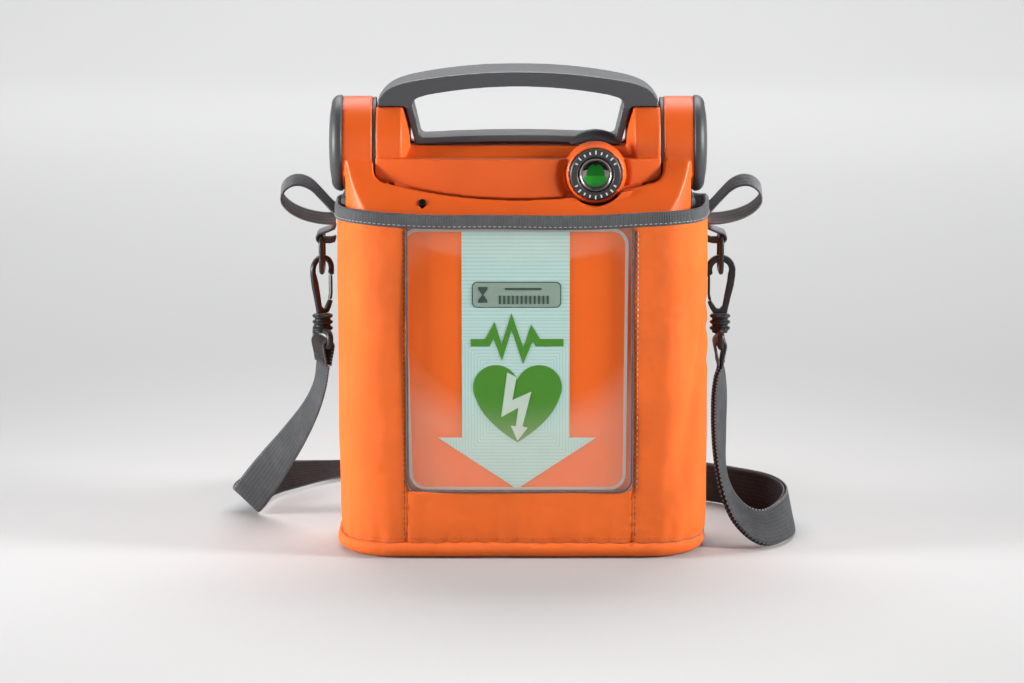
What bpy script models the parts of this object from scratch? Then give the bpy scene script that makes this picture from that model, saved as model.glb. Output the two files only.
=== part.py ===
"""A portable defibrillator standing in its carry sleeve, with a shoulder strap on two snap hooks.

Metres, +Z up. X runs to the object's right hand side as it is faced, the front is at -Y, and
the origin is on the ground, in the middle of the sleeve's bottom.
"""

from math import acos, cos, degrees, hypot, pi, radians, sin, sqrt

import bmesh
import bpy
from mathutils import Matrix, Vector

# The sleeve.
SLEEVE_HALF_WIDTH = 0.1125
SLEEVE_HALF_DEPTH = 0.048
SLEEVE_CORNER = 0.036
FABRIC = 0.0025
BOTTOM_THICKNESS = 0.0037
WALL_TOP = 0.2022
RIM_LOW, RIM_HIGH = 0.2025, 0.2107
RIM_THICKNESS = 0.0034
WINDOW_LEFT, WINDOW_RIGHT = -0.0690, 0.0668
WINDOW_LOW = 0.0420
VINYL = 0.0008
PIPING_RADIUS, PIPING_CORNER, PIPING_MARGIN = 0.0009, 0.0060, 0.0012
SEAM_GAP = 0.0003

# The case stands a little left of the sleeve's middle.
CASE_X = -0.0020
CASE_HALF_WIDTH = 0.1068
CASE_LOW, CASE_TOP = 0.0050, 0.2175
CASE_FRONT, CASE_BACK = -0.0180, 0.0440
CASE_CORNER = 0.0315
CASE_WALL = 0.0030

# The lid turns on an axis along X through its two barrels.
HINGE_Y, HINGE_Z = 0.0040, 0.2470
BARREL_RADIUS = 0.0285
BARREL_INNER, BARREL_OUTER = 0.0874, 0.1060
CAP_OUTER = 0.1150
LID_HALF_WIDTH = 0.1050
LID_FRONT, LID_BACK = -0.0440, -0.0200
LID_LOW, LID_RAMP_Z = 0.0080, 0.2030
RAMP_TOP_Y, RAMP_TOP_Z = -0.0245, 0.2400
LID_CORNER, LID_FOOT_CORNER, LID_FOOT_RADIUS = 0.0310, 0.0260, 0.0070
LID_WALL = 0.0030
SMILE_Z, SMILE_RADIUS = 0.2177, 0.3310
SMILE_HALF_WIDTH, LID_GAP = 0.0800, 0.0009

# The yoke and the handle.
COLUMN_INNER, COLUMN_OUTER = 0.0660, 0.0856
COLUMN_TOP = 0.2704
YOKE_FRONT, YOKE_BACK, YOKE_SWEEP = -0.0310, 0.0290, 0.0075
SHELF_Z, YOKE_TOP = 0.2410, 0.2474
HANDLE_FRONT, HANDLE_BACK = -0.0105, 0.0185
HANDLE_HALF_WIDTH, HANDLE_SHOULDER = 0.0845, 0.0656
GRIP_TOP, GRIP_END, HANDLE_GAP = 0.2940, 0.2745, 0.0004
PIN_RADIUS, PIN_BORE = 0.0040, 0.0043

# The status indicator.
LAMP_X, LAMP_Z = 0.0463, 0.2330
BOSS_RADIUS, LAMP_RECESS, BEZEL_RADIUS, LENS_RADIUS = 0.0195, 0.0158, 0.0155, 0.0104
BOSS_FRONT = -0.0330

# The deck under the lid, and what is on it.
DECK_FRONT, DECK_BACK = -0.0170, -0.0140
SHOCK_X, SHOCK_Z, SHOCK_RADIUS = 0.0250, 0.1780, 0.0130
LANGUAGE_X, LANGUAGE_Z, LANGUAGE_RADIUS = 0.0530, 0.1900, 0.0055
SHOCK_FRONT, LANGUAGE_FRONT, BUTTON_BACK = -0.0205, -0.0190, -0.0110
DISPLAY_LEFT, DISPLAY_RIGHT, DISPLAY_LOW, DISPLAY_HIGH = -0.0760, -0.0120, 0.1620, 0.1960
SPEAKER_X, SPEAKER_Z, SPEAKER_RADIUS = 0.0820, 0.1920, 0.0120
PLUG_X, PLUG_Z = 0.0740, 0.1600
PACK_HALF_WIDTH, PACK_LOW, PACK_HIGH, PACK_FRONT = 0.0880, 0.0250, 0.1400, -0.0370

# The battery at the back of the case, and the latch above it.
BATTERY_HALF_WIDTH, BATTERY_LOW, BATTERY_HIGH = 0.0400, 0.0140, 0.0700
LATCH_HALF_WIDTH, LATCH_LOW, LATCH_HIGH = 0.0080, 0.0735, 0.0790
SCREW_PLACES = [(x, z) for z in (0.0950, 0.2020) for x in (-0.0700, 0.0700)]

# The strap's hardware. Each side's hook hangs from a ring in a tab on the sleeve's side seam.
RING_X, RING_TOP, RING_LOW = 0.1212, 0.1905, 0.1690
RING_HALF_WIDTH, RING_WIRE, TAB_FOLD, TAB_HALF_WIDTH = 0.0130, 0.0016, 0.0036, 0.0105
HOOK_BASE, HOOK_WIRE = 0.1425, 0.0021
GATE_PIVOT, GATE_TIP = (-0.0064, 0.0066), (-0.0066, 0.0222)
HOOK_TURN = {"left": radians(46), "right": 0.0}
SWIVEL_X = 0.1214
EYE_BAR_Z, EYE_TOP_Z, EYE_BAR, EYE_HALF_WIDTH = 0.1240, 0.1325, 0.0020, 0.0150
RIBS, RIB_PITCH, RIB_RADIUS, RIB_GROOVE = 3, 0.0038, 0.0058, 0.0048
EYE_TURN = {"left": radians(20), "right": 0.0}
STRAP_END_Z = 0.1120
SIDES = {"left": -1, "right": 1}

# The webbing of the shoulder strap, and the middle line that it follows: each point has its
# place, and the direction across the webbing there.
STRAP_WIDTH, STRAP_THICKNESS, PLY_GAP = 0.0250, 0.0015, 0.0004
STRAP_LEFT = (
    ((-0.1214, 0.0000, 0.1115), (0.34, -0.94, 0.00)),
    ((-0.1238, 0.0040, 0.0970), (0.33, -0.94, 0.00)),
    ((-0.1301, 0.0130, 0.0806), (0.42, -0.90, -0.07)),
    ((-0.1412, 0.0270, 0.0607), (0.58, -0.79, -0.22)),
    ((-0.1532, 0.0450, 0.0414), (0.69, -0.63, -0.36)),
    ((-0.1658, 0.0640, 0.0213), (0.72, -0.46, -0.52)),
    ((-0.1745, 0.0715, 0.0088), (0.72, -0.46, -0.52)),
    ((-0.1750, 0.0790, 0.0092), (0.62, -0.50, -0.60)),
    ((-0.1700, 0.0925, 0.0106), (0.42, -0.55, -0.70)),
    ((-0.1600, 0.1190, 0.0112), (0.05, -0.66, -0.72)),
    ((-0.1410, 0.1430, 0.0088), (-0.24, -0.80, -0.54)),
    ((-0.1180, 0.1700, 0.0058), (-0.18, -0.95, -0.28)),
    ((-0.0850, 0.1850, 0.0056), (-0.05, -0.96, -0.28)),
    ((-0.0450, 0.1780, 0.0098), (0.00, -0.76, -0.65)),
    ((-0.0150, 0.1650, 0.0142), (0.00, -0.25, -0.95)),
    ((0.0100, 0.1600, 0.0157), (0.00, 0.00, -1.00)),
    ((0.0300, 0.1600, 0.0157), (0.00, 0.00, -1.00)),
    ((0.0480, 0.1600, 0.0157), (0.00, 0.00, -1.00)),
)
STRAP_RIGHT = (
    ((0.0483, 0.1600, 0.0157), (0.00, 0.00, -1.00)),
    ((0.0650, 0.1570, 0.0150), (0.00, 0.00, -1.00)),
    ((0.0850, 0.1400, 0.0140), (0.00, 0.00, -1.00)),
    ((0.1100, 0.1090, 0.0134), (0.00, 0.02, -1.00)),
    ((0.1340, 0.0900, 0.0134), (0.00, -0.03, -1.00)),
    ((0.1560, 0.0700, 0.0134), (0.05, -0.05, -0.99)),
    ((0.1690, 0.0460, 0.0132), (0.28, -0.10, -0.94)),
    ((0.1710, 0.0220, 0.0116), (0.55, -0.30, -0.75)),
    ((0.1640, 0.0000, 0.0104), (0.45, -0.62, -0.62)),
    ((0.1510, -0.0140, 0.0104), (0.15, -0.75, -0.63)),
    ((0.1390, -0.0140, 0.0150), (0.06, -0.84, -0.53)),
    ((0.1290, -0.0080, 0.0255), (0.04, -0.86, -0.51)),
    ((0.1235, -0.0020, 0.0420), (0.02, -0.98, -0.20)),
    ((0.1214, 0.0000, 0.0650), (0.00, -1.00, -0.03)),
    ((0.1214, 0.0000, 0.0900), (0.00, -1.00, 0.00)),
    ((0.1214, 0.0000, 0.1115), (0.00, -1.00, 0.00)),
)
SLIDER_X, SLIDER_Y, SLIDER_HALF_LENGTH = 0.0300, 0.1600, 0.0090

# The middle line of a pull loop on the right side, which is mirrored for the left.
LOOP_WIDTH, LOOP_THICKNESS = 0.0100, 0.0014
LOOP_ACROSS = (0.0, 0.80, 0.60)
LOOP_ROUTE = (
    (0.1152, 0.0020, 0.2085),
    (0.1210, 0.0030, 0.2150),
    (0.1275, 0.0030, 0.2215),
    (0.1340, 0.0020, 0.2245),
    (0.1400, 0.0000, 0.2240),
    (0.1445, -0.0015, 0.2200),
    (0.1450, -0.0025, 0.2140),
    (0.1400, -0.0030, 0.2085),
    (0.1320, -0.0030, 0.2045),
    (0.1230, -0.0025, 0.2020),
    (0.1152, -0.0020, 0.2006),
)

FINISHES = {
    "orange_shell": ((0.92, 0.20, 0.03), 0.38, 0.0),
    "orange_label": ((0.93, 0.22, 0.04), 0.45, 0.0),
    "orange_fabric": ((0.94, 0.27, 0.04), 0.85, 0.0),
    "clear_vinyl": ((0.95, 0.85, 0.78), 0.10, 0.0),
    "grey_shell": ((0.13, 0.13, 0.14), 0.50, 0.0),
    "grey_rubber": ((0.11, 0.11, 0.11), 0.65, 0.0),
    "grey_webbing": ((0.12, 0.12, 0.13), 0.90, 0.0),
    "black_plastic": ((0.02, 0.02, 0.02), 0.40, 0.0),
    "steel": ((0.60, 0.60, 0.62), 0.30, 1.0),
    "clear_lens": ((0.90, 0.95, 0.92), 0.05, 0.0),
    "green_flag": ((0.05, 0.55, 0.12), 0.40, 0.0),
    "pack_foil": ((0.86, 0.88, 0.90), 0.35, 0.0),
    "circuit_board": ((0.03, 0.20, 0.08), 0.50, 0.0),
    "shock_red": ((0.75, 0.05, 0.03), 0.35, 0.0),
}

PLANES = {
    "X": Matrix(((0, 0, 1, 0), (1, 0, 0, 0), (0, 1, 0, 0), (0, 0, 0, 1))),
    "Y": Matrix.Rotation(pi / 2, 4, "X"),
    "Z": Matrix.Identity(4),
}
DIRECTIONS = {"X": Vector((1, 0, 0)), "Y": Vector((0, 1, 0)), "Z": Vector((0, 0, 1))}


# Scene and shape helpers


def clear_scene():
    for obj in list(bpy.data.objects):
        bpy.data.objects.remove(obj)


def new_collection(name):
    collection = bpy.data.collections.new(name)
    bpy.context.scene.collection.children.link(collection)
    return collection


def give_finish(obj, finish):
    colour, roughness, metallic = FINISHES[finish]
    material = bpy.data.materials.new(f"{obj.name}_{finish}")
    material.use_nodes = True
    shader = material.node_tree.nodes["Principled BSDF"]
    shader.inputs["Base Color"].default_value = (*colour, 1)
    shader.inputs["Roughness"].default_value = roughness
    shader.inputs["Metallic"].default_value = metallic
    obj.data.materials.append(material)


def add_object(name, data, finish):
    """An object of the defibrillator, or a cutter where it has no finish."""
    obj = bpy.data.objects.new(name, data)
    if finish:
        PARTS.objects.link(obj)
        give_finish(obj, finish)
    else:
        make_cutter(obj)
        CUTTERS.objects.link(obj)
    return obj


def make_cutter(obj):
    obj.hide_render = True
    obj.display_type = "WIRE"


def mesh_of(name, bm):
    bmesh.ops.recalc_face_normals(bm, faces=bm.faces)
    mesh = bpy.data.meshes.new(name)
    bm.to_mesh(mesh)
    bm.free()
    return mesh


def shade_round(mesh):
    mesh.shade_smooth()
    mesh.set_sharp_from_angle(angle=radians(35))


def converted(curve, name):
    """A curve's evaluated mesh, with its loose caps welded."""
    guide = bpy.data.objects.new(name, curve)
    CUTTERS.objects.link(guide)
    graph = bpy.context.evaluated_depsgraph_get()
    mesh = bpy.data.meshes.new_from_object(guide.evaluated_get(graph))
    bpy.data.objects.remove(guide)
    bm = bmesh.new()
    bm.from_mesh(mesh)
    bmesh.ops.remove_doubles(bm, verts=bm.verts, dist=1e-6)
    return bm


def arc(centre, radius, start, end, steps=6):
    """Points on an arc about a centre in a plane, with its angles in degrees."""
    turns = [radians(start + (end - start) * step / steps) for step in range(steps + 1)]
    return [(centre[0] + radius * cos(a), centre[1] + radius * sin(a)) for a in turns]


def rounded(left, right, low, high, radius, steps=6):
    """A rectangle's outline, with one radius or one for each corner from the low left round."""
    radii = radius if isinstance(radius, tuple) else (radius,) * 4
    corners = (
        (left + radii[0], low + radii[0], 180, 270, radii[0]),
        (right - radii[1], low + radii[1], 270, 360, radii[1]),
        (right - radii[2], high - radii[2], 0, 90, radii[2]),
        (left + radii[3], high - radii[3], 90, 180, radii[3]),
    )
    outline = []
    for u, v, start, end, size in corners:
        outline += arc((u, v), size, start, end, steps) if size else [(u, v)]
    return outline


def prism(name, outlines, axis, low, high, finish=None, centre_x=CASE_X):
    """A flat outline, and any holes in it, drawn out along an axis."""
    if not isinstance(outlines[0], list):
        outlines = [outlines]
    curve = bpy.data.curves.new(name, "CURVE")
    curve.dimensions = "2D"
    curve.fill_mode = "BOTH"
    curve.extrude = (high - low) / 2
    for outline in outlines:
        spline = curve.splines.new("POLY")
        spline.points.add(len(outline) - 1)
        for point, (u, v) in zip(spline.points, outline):
            point.co = (u, v, 0, 1)
        spline.use_cyclic_u = True
    bm = converted(curve, name)
    bmesh.ops.dissolve_limit(bm, angle_limit=radians(0.5), verts=bm.verts, edges=bm.edges)
    middle = DIRECTIONS[axis] * (low + high) / 2
    place = Matrix.Translation(middle + Vector((centre_x, 0, 0))) @ PLANES[axis]
    bmesh.ops.transform(bm, matrix=place, verts=bm.verts)
    return add_object(name, mesh_of(name, bm), finish)


def block(name, x, y, z, finish=None, centre_x=CASE_X):
    """A box from its low and high values along each axis."""
    bm = bmesh.new()
    bmesh.ops.create_cube(bm, size=1)
    size = Matrix.Diagonal((x[1] - x[0], y[1] - y[0], z[1] - z[0], 1))
    middle = Vector((centre_x + (x[0] + x[1]) / 2, (y[0] + y[1]) / 2, (z[0] + z[1]) / 2))
    bmesh.ops.transform(bm, matrix=Matrix.Translation(middle) @ size, verts=bm.verts)
    return add_object(name, mesh_of(name, bm), finish)


def rod(name, radius, axis, low, high, at, finish=None, centre_x=CASE_X, steps=32):
    """A cylinder along an axis; its middle line passes the point `at` in the other two."""
    bm = bmesh.new()
    bmesh.ops.create_cone(
        bm, cap_ends=True, segments=steps, radius1=radius, radius2=radius, depth=high - low
    )
    middle = DIRECTIONS[axis] * (low + high) / 2
    across = {"X": (0, at[0], at[1]), "Y": (at[0], 0, at[1]), "Z": (at[0], at[1], 0)}[axis]
    offset = middle + Vector(across) + Vector((centre_x, 0, 0))
    bmesh.ops.transform(bm, matrix=Matrix.Translation(offset) @ PLANES[axis], verts=bm.verts)
    obj = add_object(name, mesh_of(name, bm), finish)
    shade_round(obj.data)
    return obj


def turned(name, profile, axis, at, finish, centre_x=CASE_X, steps=32):
    """A profile of (radius, place along the axis) from high to low, turned about the axis."""
    bm = bmesh.new()
    points = [bm.verts.new((radius, 0, along)) for radius, along in profile]
    for first, second in zip(points, points[1:]):
        bm.edges.new((first, second))
    mesh = bpy.data.meshes.new(name)
    bm.to_mesh(mesh)
    bm.free()
    obj = add_object(name, mesh, finish)
    screw = obj.modifiers.new("turn", "SCREW")
    screw.steps = screw.render_steps = steps
    screw.use_merge_vertices = True
    screw.merge_threshold = 1e-5
    if axis == "X":
        turn = Matrix.Rotation(pi / 2, 4, "Y")
    elif axis == "Y":
        turn = Matrix.Rotation(-pi / 2, 4, "X")
    else:
        turn = Matrix.Identity(4)
    across = {"X": (0, at[0], at[1]), "Y": (at[0], 0, at[1]), "Z": (at[0], at[1], 0)}[axis]
    obj.matrix_basis = Matrix.Translation(Vector(across) + Vector((centre_x, 0, 0))) @ turn
    return obj


def tube(name, route, radius, finish, sides=2, sizes=None, cyclic=False):
    """A round bar along a route, as a mesh. `sizes` scales its radius at each point."""
    curve = bpy.data.curves.new(name, "CURVE")
    curve.dimensions = "3D"
    curve.bevel_depth = radius
    curve.bevel_resolution = sides
    curve.use_fill_caps = not cyclic
    spline = curve.splines.new("POLY")
    spline.points.add(len(route) - 1)
    for index, (point, place) in enumerate(zip(spline.points, route)):
        point.co = (*place, 1)
        point.radius = sizes[index] if sizes else 1
    spline.use_cyclic_u = cyclic
    obj = add_object(name, mesh_of(name, converted(curve, name)), finish)
    shade_round(obj.data)
    return obj


def smooth(route, steps):
    """Points along a Catmull-Rom curve through a route of equal-length tuples."""
    points = [Vector(place) for place in route]
    ends = [2 * points[0] - points[1], *points, 2 * points[-1] - points[-2]]
    found = []
    for a, b, c, d in zip(ends, ends[1:], ends[2:], ends[3:]):
        for step in range(steps):
            t = step / steps
            found.append(
                (2 * b + (c - a) * t + (2 * a - 5 * b + 4 * c - d) * t * t
                 + (3 * b - a - 3 * c + d) * t**3) / 2
            )
    return [*found, points[-1]]


def ribbon(name, middles, across, width, thickness, offset, finish):
    """Webbing whose middle line and direction across are given at each point."""
    bm = bmesh.new()
    rails = []
    for side in (-0.5, 0.5):
        verts = [
            bm.verts.new(middle + Vector(way).normalized() * width * side)
            for middle, way in zip(middles, across)
        ]
        rails += [bm.edges.new(pair) for pair in zip(verts, verts[1:])]
    bmesh.ops.bridge_loops(bm, edges=rails)
    # The faces look to one fixed side of the route, so the offset is the same all along.
    bm.faces.ensure_lookup_table()
    first = bm.faces[0]
    forward = middles[1] - middles[0]
    if first.normal.dot(Vector(across[0]).cross(forward)) < 0:
        bmesh.ops.reverse_faces(bm, faces=bm.faces)
    mesh = bpy.data.meshes.new(name)
    bm.to_mesh(mesh)
    bm.free()
    obj = add_object(name, mesh, finish)
    give_thickness(obj, thickness, offset)
    return obj


def give_thickness(obj, thickness, offset):
    shell = obj.modifiers.new("thickness", "SOLIDIFY")
    shell.thickness = thickness
    shell.offset = offset
    shell.use_even_offset = True
    shell.use_quality_normals = True


def bevel(obj, width, segments=2, angle=35):
    rounding = obj.modifiers.new("rounding", "BEVEL")
    rounding.width = width
    rounding.segments = segments
    rounding.limit_method = "ANGLE"
    rounding.angle_limit = radians(angle)
    return obj


def combine(obj, tool, operation="DIFFERENCE"):
    modifier = obj.modifiers.new(f"{operation.lower()}_{tool.name}", "BOOLEAN")
    modifier.operation = operation
    modifier.object = tool
    return obj


def attach(obj, empty):
    """Parents an object to the empty of its joint, and leaves its shape in place."""
    obj.parent = empty
    obj.matrix_basis = Matrix.Translation(-Vector(empty["place"])) @ obj.matrix_basis


def axis_empty(name, place, parent=None):
    """An empty at a joint's place. Its parent is the empty of the piece that carries it."""
    empty = bpy.data.objects.new(name, None)
    PARTS.objects.link(empty)
    empty["place"] = place
    empty.location = Vector(place) - (Vector(parent["place"]) if parent else Vector())
    empty.parent = parent
    return empty


# The sleeve


def sleeve_outline(inset, steps=8):
    """The sleeve's plan, from the middle of its right side round the front to the left side."""
    half_width, half_depth = SLEEVE_HALF_WIDTH - inset, SLEEVE_HALF_DEPTH - inset
    radius = SLEEVE_CORNER - inset
    corner_x, corner_y = half_width - radius, half_depth - radius
    return (
        [(half_width, -SEAM_GAP / 2)]
        + arc((corner_x, -corner_y), radius, 0, -90, steps)
        + arc((-corner_x, -corner_y), radius, -90, -180, steps)
        + [(-half_width, -SEAM_GAP / 2)]
    )


def wall(name, path, low, high, thickness, finish):
    """An upright sheet along a plan path, thickened equally to both sides."""
    bm = bmesh.new()
    verts = [bm.verts.new((x, y, low)) for x, y in path]
    edges = [bm.edges.new(pair) for pair in zip(verts, verts[1:])]
    raised = bmesh.ops.extrude_edge_only(bm, edges=edges)["geom"]
    moved = [item for item in raised if isinstance(item, bmesh.types.BMVert)]
    bmesh.ops.translate(bm, verts=moved, vec=(0, 0, high - low))
    obj = add_object(name, mesh_of(name, bm), finish)
    give_thickness(obj, thickness, 0)
    return obj


def make_sleeve():
    path = sleeve_outline(FABRIC / 2)
    front_y = -SLEEVE_HALF_DEPTH + FABRIC / 2
    left = [(x, y) for x, y in path if x < WINDOW_LEFT]
    right = [(x, y) for x, y in path if x > WINDOW_RIGHT]
    left.insert(0, (WINDOW_LEFT - SEAM_GAP, front_y))
    right.append((WINDOW_RIGHT + SEAM_GAP, front_y))
    back = [(x, -y) for x, y in path]
    low = BOTTOM_THICKNESS + SEAM_GAP
    pieces = [
        wall("sleeve_back", back, low, WALL_TOP, FABRIC, "orange_fabric"),
        wall("sleeve_front_left", left, low, WALL_TOP, FABRIC, "orange_fabric"),
        wall("sleeve_front_right", right, low, WALL_TOP, FABRIC, "orange_fabric"),
    ]
    span = [(WINDOW_LEFT, front_y), (WINDOW_RIGHT, front_y)]
    pieces.append(
        wall("sleeve_front_lower", span, low, WINDOW_LOW - SEAM_GAP, FABRIC, "orange_fabric")
    )
    pieces.append(wall("window_sheet", span, WINDOW_LOW, WALL_TOP, VINYL, "clear_vinyl"))
    bottom = rounded(
        -SLEEVE_HALF_WIDTH, SLEEVE_HALF_WIDTH, -SLEEVE_HALF_DEPTH, SLEEVE_HALF_DEPTH,
        SLEEVE_CORNER, 8,
    )
    pieces.append(
        prism("sleeve_bottom", bottom, "Z", 0, BOTTOM_THICKNESS, "orange_fabric", centre_x=0)
    )
    rim_path = sleeve_outline(FABRIC / 2)
    pieces += [
        wall("rim_front", rim_path, RIM_LOW, RIM_HIGH, RIM_THICKNESS, "grey_webbing"),
        wall("rim_back", [(x, -y) for x, y in rim_path], RIM_LOW, RIM_HIGH, RIM_THICKNESS,
             "grey_webbing"),
    ]
    return pieces


def make_window_piping():
    """A thin cord sewn round the window's two sides and its bottom, on the fabric's face."""
    y = -SLEEVE_HALF_DEPTH - PIPING_RADIUS - SEAM_GAP
    corner, margin = PIPING_CORNER, PIPING_MARGIN
    left, right, low = WINDOW_LEFT - margin, WINDOW_RIGHT + margin, WINDOW_LOW - margin
    outline = (
        [(left, WALL_TOP)]
        + arc((left + corner, low + corner), corner, 180, 270, 4)
        + arc((right - corner, low + corner), corner, 270, 360, 4)
        + [(right, WALL_TOP)]
    )
    route = [(x, y, z) for x, z in outline]
    return tube("window_piping", route, PIPING_RADIUS, "grey_webbing")


def make_pull_loop(side):
    sign = SIDES[side]
    route = smooth([(sign * x, y, z) for x, y, z in LOOP_ROUTE], 2)
    across = [LOOP_ACROSS] * len(route)
    return ribbon(
        f"pull_loop_{side}", route, across, LOOP_WIDTH, LOOP_THICKNESS, 0, "grey_webbing"
    )


def make_ring_tab(side):
    """A fold of webbing from the side seam, round the ring's top bar."""
    sign = SIDES[side]
    root = SLEEVE_HALF_WIDTH + 0.0005
    outline = (
        [(root, RING_TOP + 0.0015)]
        + arc((RING_X, RING_TOP), TAB_FOLD, 215, 420, 8)
        + [(root, RING_TOP + 0.0055)]
    )
    hole = arc((RING_X, RING_TOP), RING_WIRE + 0.0004, 0, 330, 11)
    outlines = [[(sign * x, z) for x, z in points] for points in (outline, hole)]
    return prism(
        f"ring_tab_{side}", outlines, "Y", -TAB_HALF_WIDTH, TAB_HALF_WIDTH, "grey_webbing",
        centre_x=0,
    )


def make_ring(side):
    outline = rounded(
        -RING_HALF_WIDTH, RING_HALF_WIDTH, RING_LOW, RING_TOP, (0.006, 0.006, 0.003, 0.003), 4
    )
    route = [(SIDES[side] * RING_X, y, z) for y, z in outline]
    return tube(f"ring_{side}", route, RING_WIRE, "black_plastic", cyclic=True)


# The strap and its hardware


def hook_place(side, out, up, y=0.0):
    """A point of the hook's own plane, which stands out from the sleeve's side."""
    sign, turn = SIDES[side], HOOK_TURN[side]
    x = sign * (SWIVEL_X + out * cos(turn)) + y * sin(turn)
    return (x, -out * sin(turn) + y * cos(turn), HOOK_BASE + up)


def make_hook(side):
    """A snap hook: a base, a thick spine, a round top and a nose that the gate meets."""
    spine = [(0.0018, 0.0020), (0.0050, 0.0075), (0.0070, 0.0150), (0.0075, 0.0230)]
    crown = arc((0.0006, 0.0272), 0.0069, 0, 180, 8)
    nose = [(-0.0065, 0.0248)]
    outline = spine + crown + nose
    sizes = [1.35, 1.30, 1.20, 1.10] + [1.0] * len(crown) + [0.85]
    hook = tube(
        f"hook_{side}", [hook_place(side, out, up) for out, up in outline], HOOK_WIRE,
        "black_plastic", sizes=sizes,
    )
    x, y, z = hook_place(side, 0, 0)
    base = rod(
        f"hook_base_{side}", 0.0052, "Z", z + 0.0004, z + 0.0048, (x, y), centre_x=0, steps=20
    )
    return combine(hook, base, "UNION")


def make_gate(side):
    """The sprung bar that closes the hook's mouth. It pivots just above the hook's base."""
    route = [hook_place(side, *GATE_PIVOT), hook_place(side, *GATE_TIP)]
    return tube(f"gate_{side}", route, 0.0013, "black_plastic", sizes=[1.2, 0.9])


def make_swivel(side):
    """A ribbed collar under the hook, and a flat eye whose lower bar holds the webbing."""
    x = SIDES[side] * SWIVEL_X
    top = HOOK_BASE - SEAM_GAP
    profile = [(0, top)]
    for rib in range(RIBS):
        high = top - rib * RIB_PITCH
        middle = high - RIB_PITCH / 2
        profile += [(RIB_RADIUS, high), (RIB_RADIUS, middle), (RIB_GROOVE, middle - 0.0002)]
        profile += [(RIB_GROOVE, high - RIB_PITCH)]
    profile += [(0, top - RIBS * RIB_PITCH)]
    collar = turned(f"swivel_{side}", profile, "Z", (x, 0), "black_plastic", centre_x=0, steps=16)
    outline = rounded(-EYE_HALF_WIDTH, EYE_HALF_WIDTH, EYE_BAR_Z, EYE_TOP_Z, 0.0030, 3)
    turn = EYE_TURN[side]
    route = [(x - y * sin(turn), y * cos(turn), z) for y, z in outline]
    eye = tube(f"swivel_eye_{side}", route, EYE_BAR, None, sides=1, cyclic=True)
    return combine(collar, eye, "UNION")


def make_strap_end(side):
    """The webbing that is sewn back on itself round the swivel's lower bar."""
    x, turn = SIDES[side] * SWIVEL_X, EYE_TURN[side]
    reach = EYE_BAR + STRAP_THICKNESS / 2 + 0.0005
    legs = 0.0036
    outline = (
        [(legs * 0.28, STRAP_END_Z), (legs * 0.55, STRAP_END_Z + 0.005)]
        + arc((0, EYE_BAR_Z), reach, -10, 190, 8)
        + [(-legs * 0.55, STRAP_END_Z + 0.005), (-legs * 0.28, STRAP_END_Z)]
    )
    route = [Vector((x + out * cos(turn), out * sin(turn), z)) for out, z in outline]
    across = [(-sin(turn), cos(turn), 0)] * len(route)
    return ribbon(
        f"strap_end_{side}", route, across, STRAP_WIDTH, STRAP_THICKNESS, 0, "grey_webbing"
    )


def make_strap():
    """The shoulder strap: one layer from the left hook to the slider, then two to the right."""
    pieces = []
    for name, route, offset in (
        ("strap_left", STRAP_LEFT, 0),
        ("strap_right_outer", STRAP_RIGHT, 1),
        ("strap_right_inner", STRAP_RIGHT, -1),
    ):
        middles = smooth([place for place, _ in route], 3)
        across = smooth([way for _, way in route], 3)
        thickness = STRAP_THICKNESS
        ply = ribbon(name, middles, across, STRAP_WIDTH, thickness, 0, "grey_webbing")
        if offset:
            # Each layer stands off the route's middle line by half a gap.
            ply.modifiers["thickness"].offset = offset * (1 + PLY_GAP / thickness)
        pieces.append(ply)
    return pieces


def make_slider():
    """A flat frame that the strap's layers pass through on the ground behind the sleeve."""
    half_width, half_height = 0.0048, 0.0150
    outer = rounded(-half_width, half_width, -half_height, half_height, 0.0015, 3)
    inner = rounded(-0.0028, 0.0028, -0.0131, 0.0131, 0.0008, 2)
    middle_z = STRAP_LEFT[-1][0][2]
    outlines = [[(SLIDER_Y + u, middle_z + v) for u, v in points] for points in (outer, inner)]
    span = (SLIDER_X - SLIDER_HALF_LENGTH, SLIDER_X + SLIDER_HALF_LENGTH)
    return prism("strap_slider", outlines, "X", *span, "black_plastic", centre_x=0)


# The case


def make_back_housing():
    """An open-fronted shell with round back corners, and openings for battery and latch."""
    outline = rounded(
        -CASE_HALF_WIDTH, CASE_HALF_WIDTH, CASE_FRONT, CASE_BACK,
        (0, 0, CASE_CORNER, CASE_CORNER), 8,
    )
    housing = prism("back_housing", outline, "Z", CASE_LOW, CASE_TOP, "grey_shell")
    bevel(housing, 0.0025, 2, 60)
    inner = rounded(
        -CASE_HALF_WIDTH + CASE_WALL, CASE_HALF_WIDTH - CASE_WALL, CASE_FRONT - 0.01,
        CASE_BACK - CASE_WALL, (0, 0, CASE_CORNER - CASE_WALL, CASE_CORNER - CASE_WALL), 8,
    )
    span = (CASE_LOW + CASE_WALL, CASE_TOP - CASE_WALL)
    combine(housing, prism("housing_inside", inner, "Z", *span))
    gap = SEAM_GAP
    wall_span = (CASE_BACK - 2 * CASE_WALL, CASE_BACK + 0.01)
    bay = block(
        "battery_bay", (-BATTERY_HALF_WIDTH - gap, BATTERY_HALF_WIDTH + gap), wall_span,
        (BATTERY_LOW - gap, BATTERY_HIGH + gap),
    )
    slot = block(
        "latch_slot", (-LATCH_HALF_WIDTH - gap, LATCH_HALF_WIDTH + gap), wall_span,
        (LATCH_LOW - gap, LATCH_HIGH + gap),
    )
    combine(housing, bay)
    combine(housing, slot)
    for index, (x, z) in enumerate(SCREW_PLACES):
        hole = rod(f"screw_hole_{index}", 0.0038, "Y", *wall_span, (x, z), steps=16)
        combine(housing, hole)
    return housing


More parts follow.
